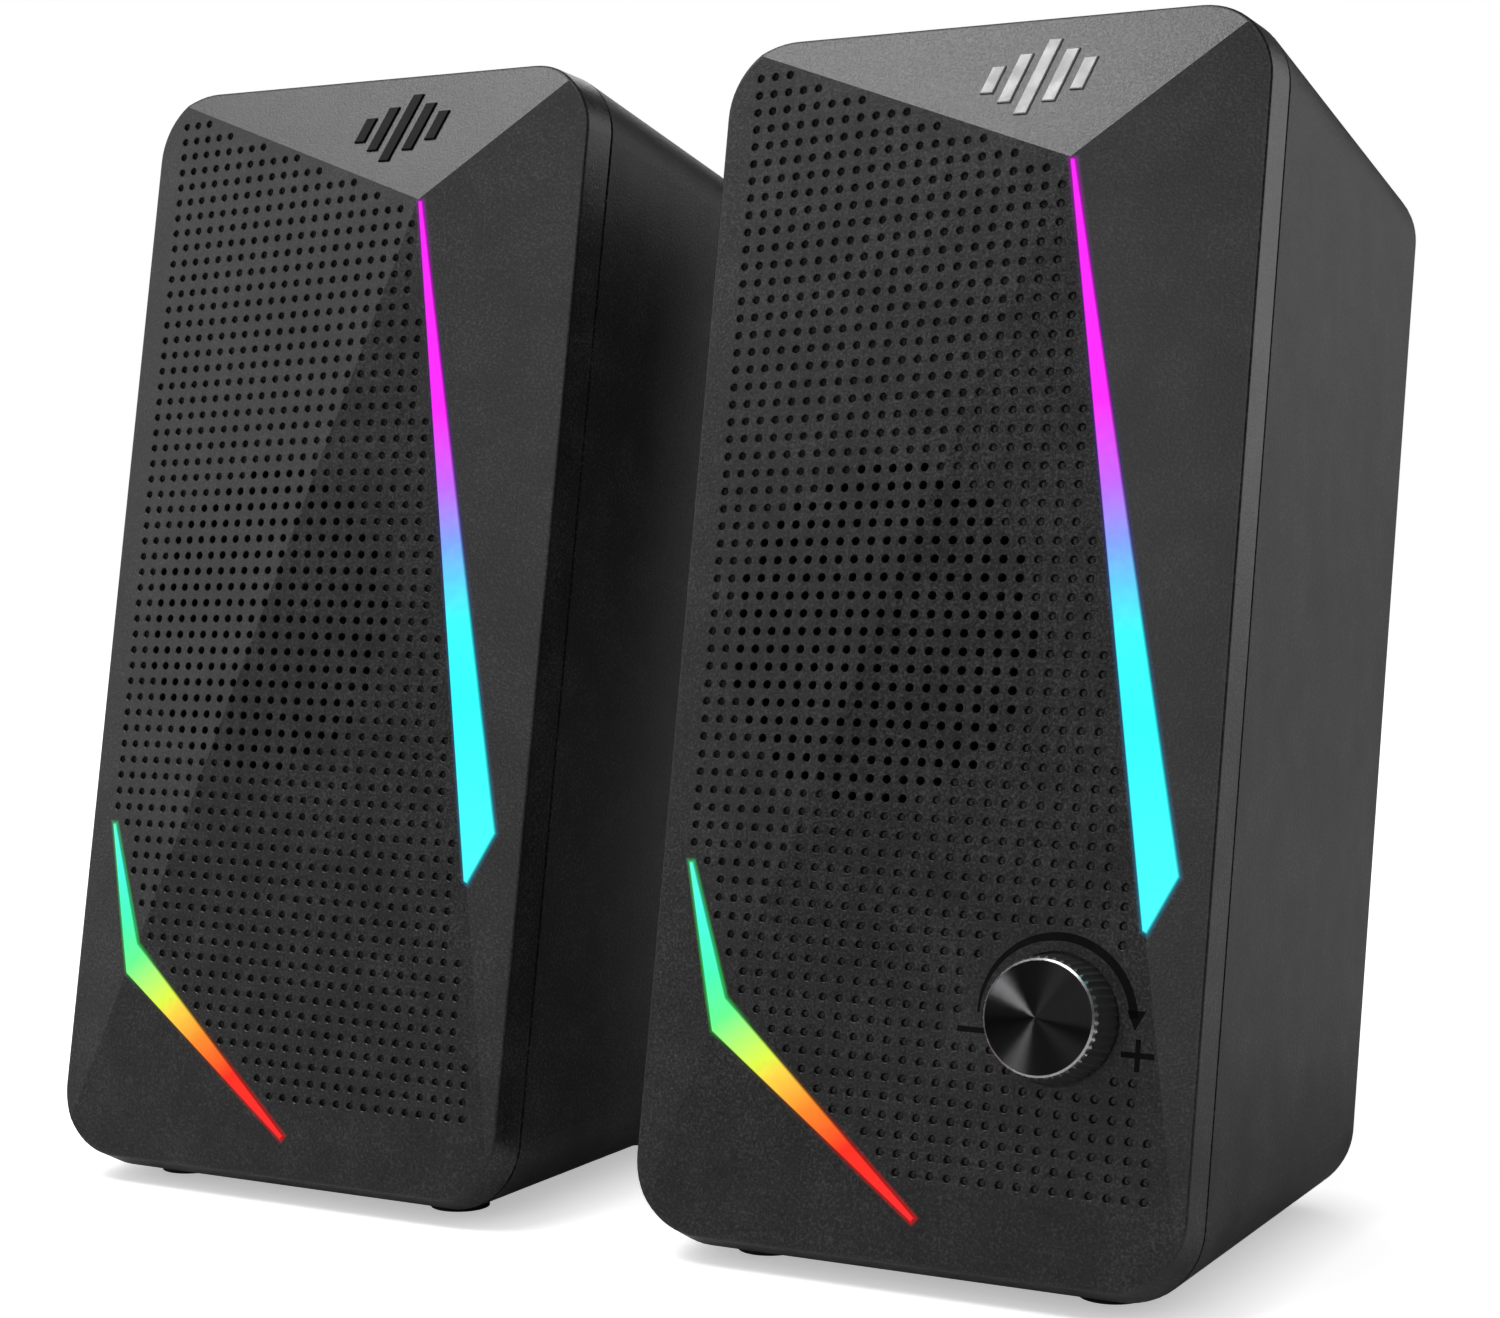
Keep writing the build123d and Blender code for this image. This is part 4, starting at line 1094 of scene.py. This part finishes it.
def accents(piece, table):
    """Small lights for one piece of the knob alone, which draw its highlights."""
    only = bpy.data.collections.new(f"{piece.name}_only")
    only.objects.link(piece)
    knob = place("right") @ Vector((KNOB[0], KNOB_FRONT, KNOB[1]))
    for name, radiance, size, azimuth, elevation in table:
        made = softbox(name, radiance, size, size, azimuth, elevation, 1.0, knob)
        made.data.use_shadow = False
        made.light_linking.receiver_collection = only


def studio():
    """Softboxes, and a world that is white to the camera but gives little light."""
    for name, *settings in SOFTBOXES:
        softbox(name, *settings)
    world = bpy.data.worlds.new("studio")
    world.use_nodes = True
    nodes, links = world.node_tree.nodes, world.node_tree.links
    given = nodes["Background"]
    given.inputs["Strength"].default_value = AMBIENT
    seen = nodes.new("ShaderNodeBackground")
    seen.inputs["Strength"].default_value = 1.0
    for background in (given, seen):
        background.inputs["Color"].default_value = (1.0, 1.0, 1.0, 1.0)
    pick = nodes.new("ShaderNodeMixShader")
    links.new(nodes.new("ShaderNodeLightPath").outputs["Is Camera Ray"], pick.inputs["Fac"])
    links.new(given.outputs[0], pick.inputs[1])
    links.new(seen.outputs[0], pick.inputs[2])
    links.new(pick.outputs[0], nodes["World Output"].inputs["Surface"])
    bpy.context.scene.world = world
    bpy.context.scene.view_settings.view_transform = "Standard"


def floor():
    """A pale table top, lit from below, that runs out into the white of the background. Its glow is darkened
    by occlusion near the speakers: a painted shadow.
    """
    corners = [(-1, -1), (1, -1), (1, 1), (-1, 1)]
    mesh = bpy.data.meshes.new("floor")
    mesh.from_pydata([(x * FLOOR_REACH, y * FLOOR_REACH, 0.0) for x, y in corners], [], [(0, 1, 2, 3)])
    finish = Finish("floor_paint", (0.85, 0.85, 0.85), 0.7, specular_ior_level=0.2)
    mottle = finish.noise(40.0)
    finish.give("Base Color", finish.ramp(mottle, [(0.3, (0.84, 0.84, 0.84)), (0.7, (0.86, 0.86, 0.86))]))
    away = finish.node("ShaderNodeVectorMath", {0: finish.place}, operation="LENGTH")
    seen = finish.node("ShaderNodeLightPath").outputs["Is Camera Ray"]
    openness = finish.node("ShaderNodeAmbientOcclusion", {"Distance": SHADE_REACH}, samples=12)
    glow = finish.math("MULTIPLY", finish.spread(away.outputs["Value"], FLOOR_GLOW, 1.0, *FLOOR_FADE), seen)
    # occlusion darkens the glow under and beside the speakers: a painted shadow
    glow = finish.math("MULTIPLY", glow, finish.spread(openness.outputs["AO"], SHADE, 1.0, 0.0, 1.0))
    finish.give("Emission Strength", glow)
    finish.give("Emission Color", (1.0, 1.0, 1.0, 1.0))
    mesh.materials.append(finish.material)
    put("floor", mesh)


def main():
    finishes = cad_finishes()
    dress_cad(finishes)
    rings = [("surround", "surround_rubber", surround_profile(), SURROUND_FLEX),
             ("spider", "spider_cloth", spider_profile(), SPIDER_FLEX)]
    for side in SIDES:
        for part, slot, profile, flex in rings:
            soft_ring(side, part, slot, finishes[slot], profile, flex)
    # the side wall's plastic: the front's, painted lighter to stand for the light on it
    painted_light_side = moulded("panel_side_painted_light", SIDE_PAINTED_LIGHT_TONE, SIDE_ROUGHNESS).material
    for side in SIDES:
        front_panel(side, [panel_finish(side), painted_light_side])
        for name in BARS:
            light_bar(side, name, BARS[name][0], diffuser_finish(side, name))
    gloss = worn("emblem_gloss", (0.003, 0.003, 0.003), 0.3, 2.0, 0.1, 0.0, specular_ior_level=0.04)
    # the right emblem is the same gloss black inlay as the left; its light silver-grey tone is a painted
    # reflection of the bright surroundings
    painted_reflection_emblem = worn("emblem_silver", (0.4, 0.4, 0.405), 0.5, 0.5, 0.06, 0.004, metallic=0.3)
    emblem("left", gloss)
    emblem("right", painted_reflection_emblem)
    volume_marks(worn("mark_ink", (0.0015, 0.0015, 0.0015), 0.7, 0.6, 0.1, 0.003, specular_ior_level=0.12))
    grip = knob_body(worn("knob_grip", (0.06, 0.06, 0.061), 0.4, 0.25, 0.2, 0.01, metallic=0.4))
    rim = knob_rim(worn("knob_rim", (0.55, 0.55, 0.56), 0.28, 0.3, 0.1, 0.004, metallic=1.0))
    disc = knob_face(spun("knob_disc", (0.013, 0.013, 0.0133), 0.21))
    floor()
    camera()
    studio()
    accents(disc, DISC_ACCENTS)
    accents(rim, RIM_ACCENTS)
    accents(grip, GRIP_ACCENTS)


main()
bpy.context.view_layer.update()
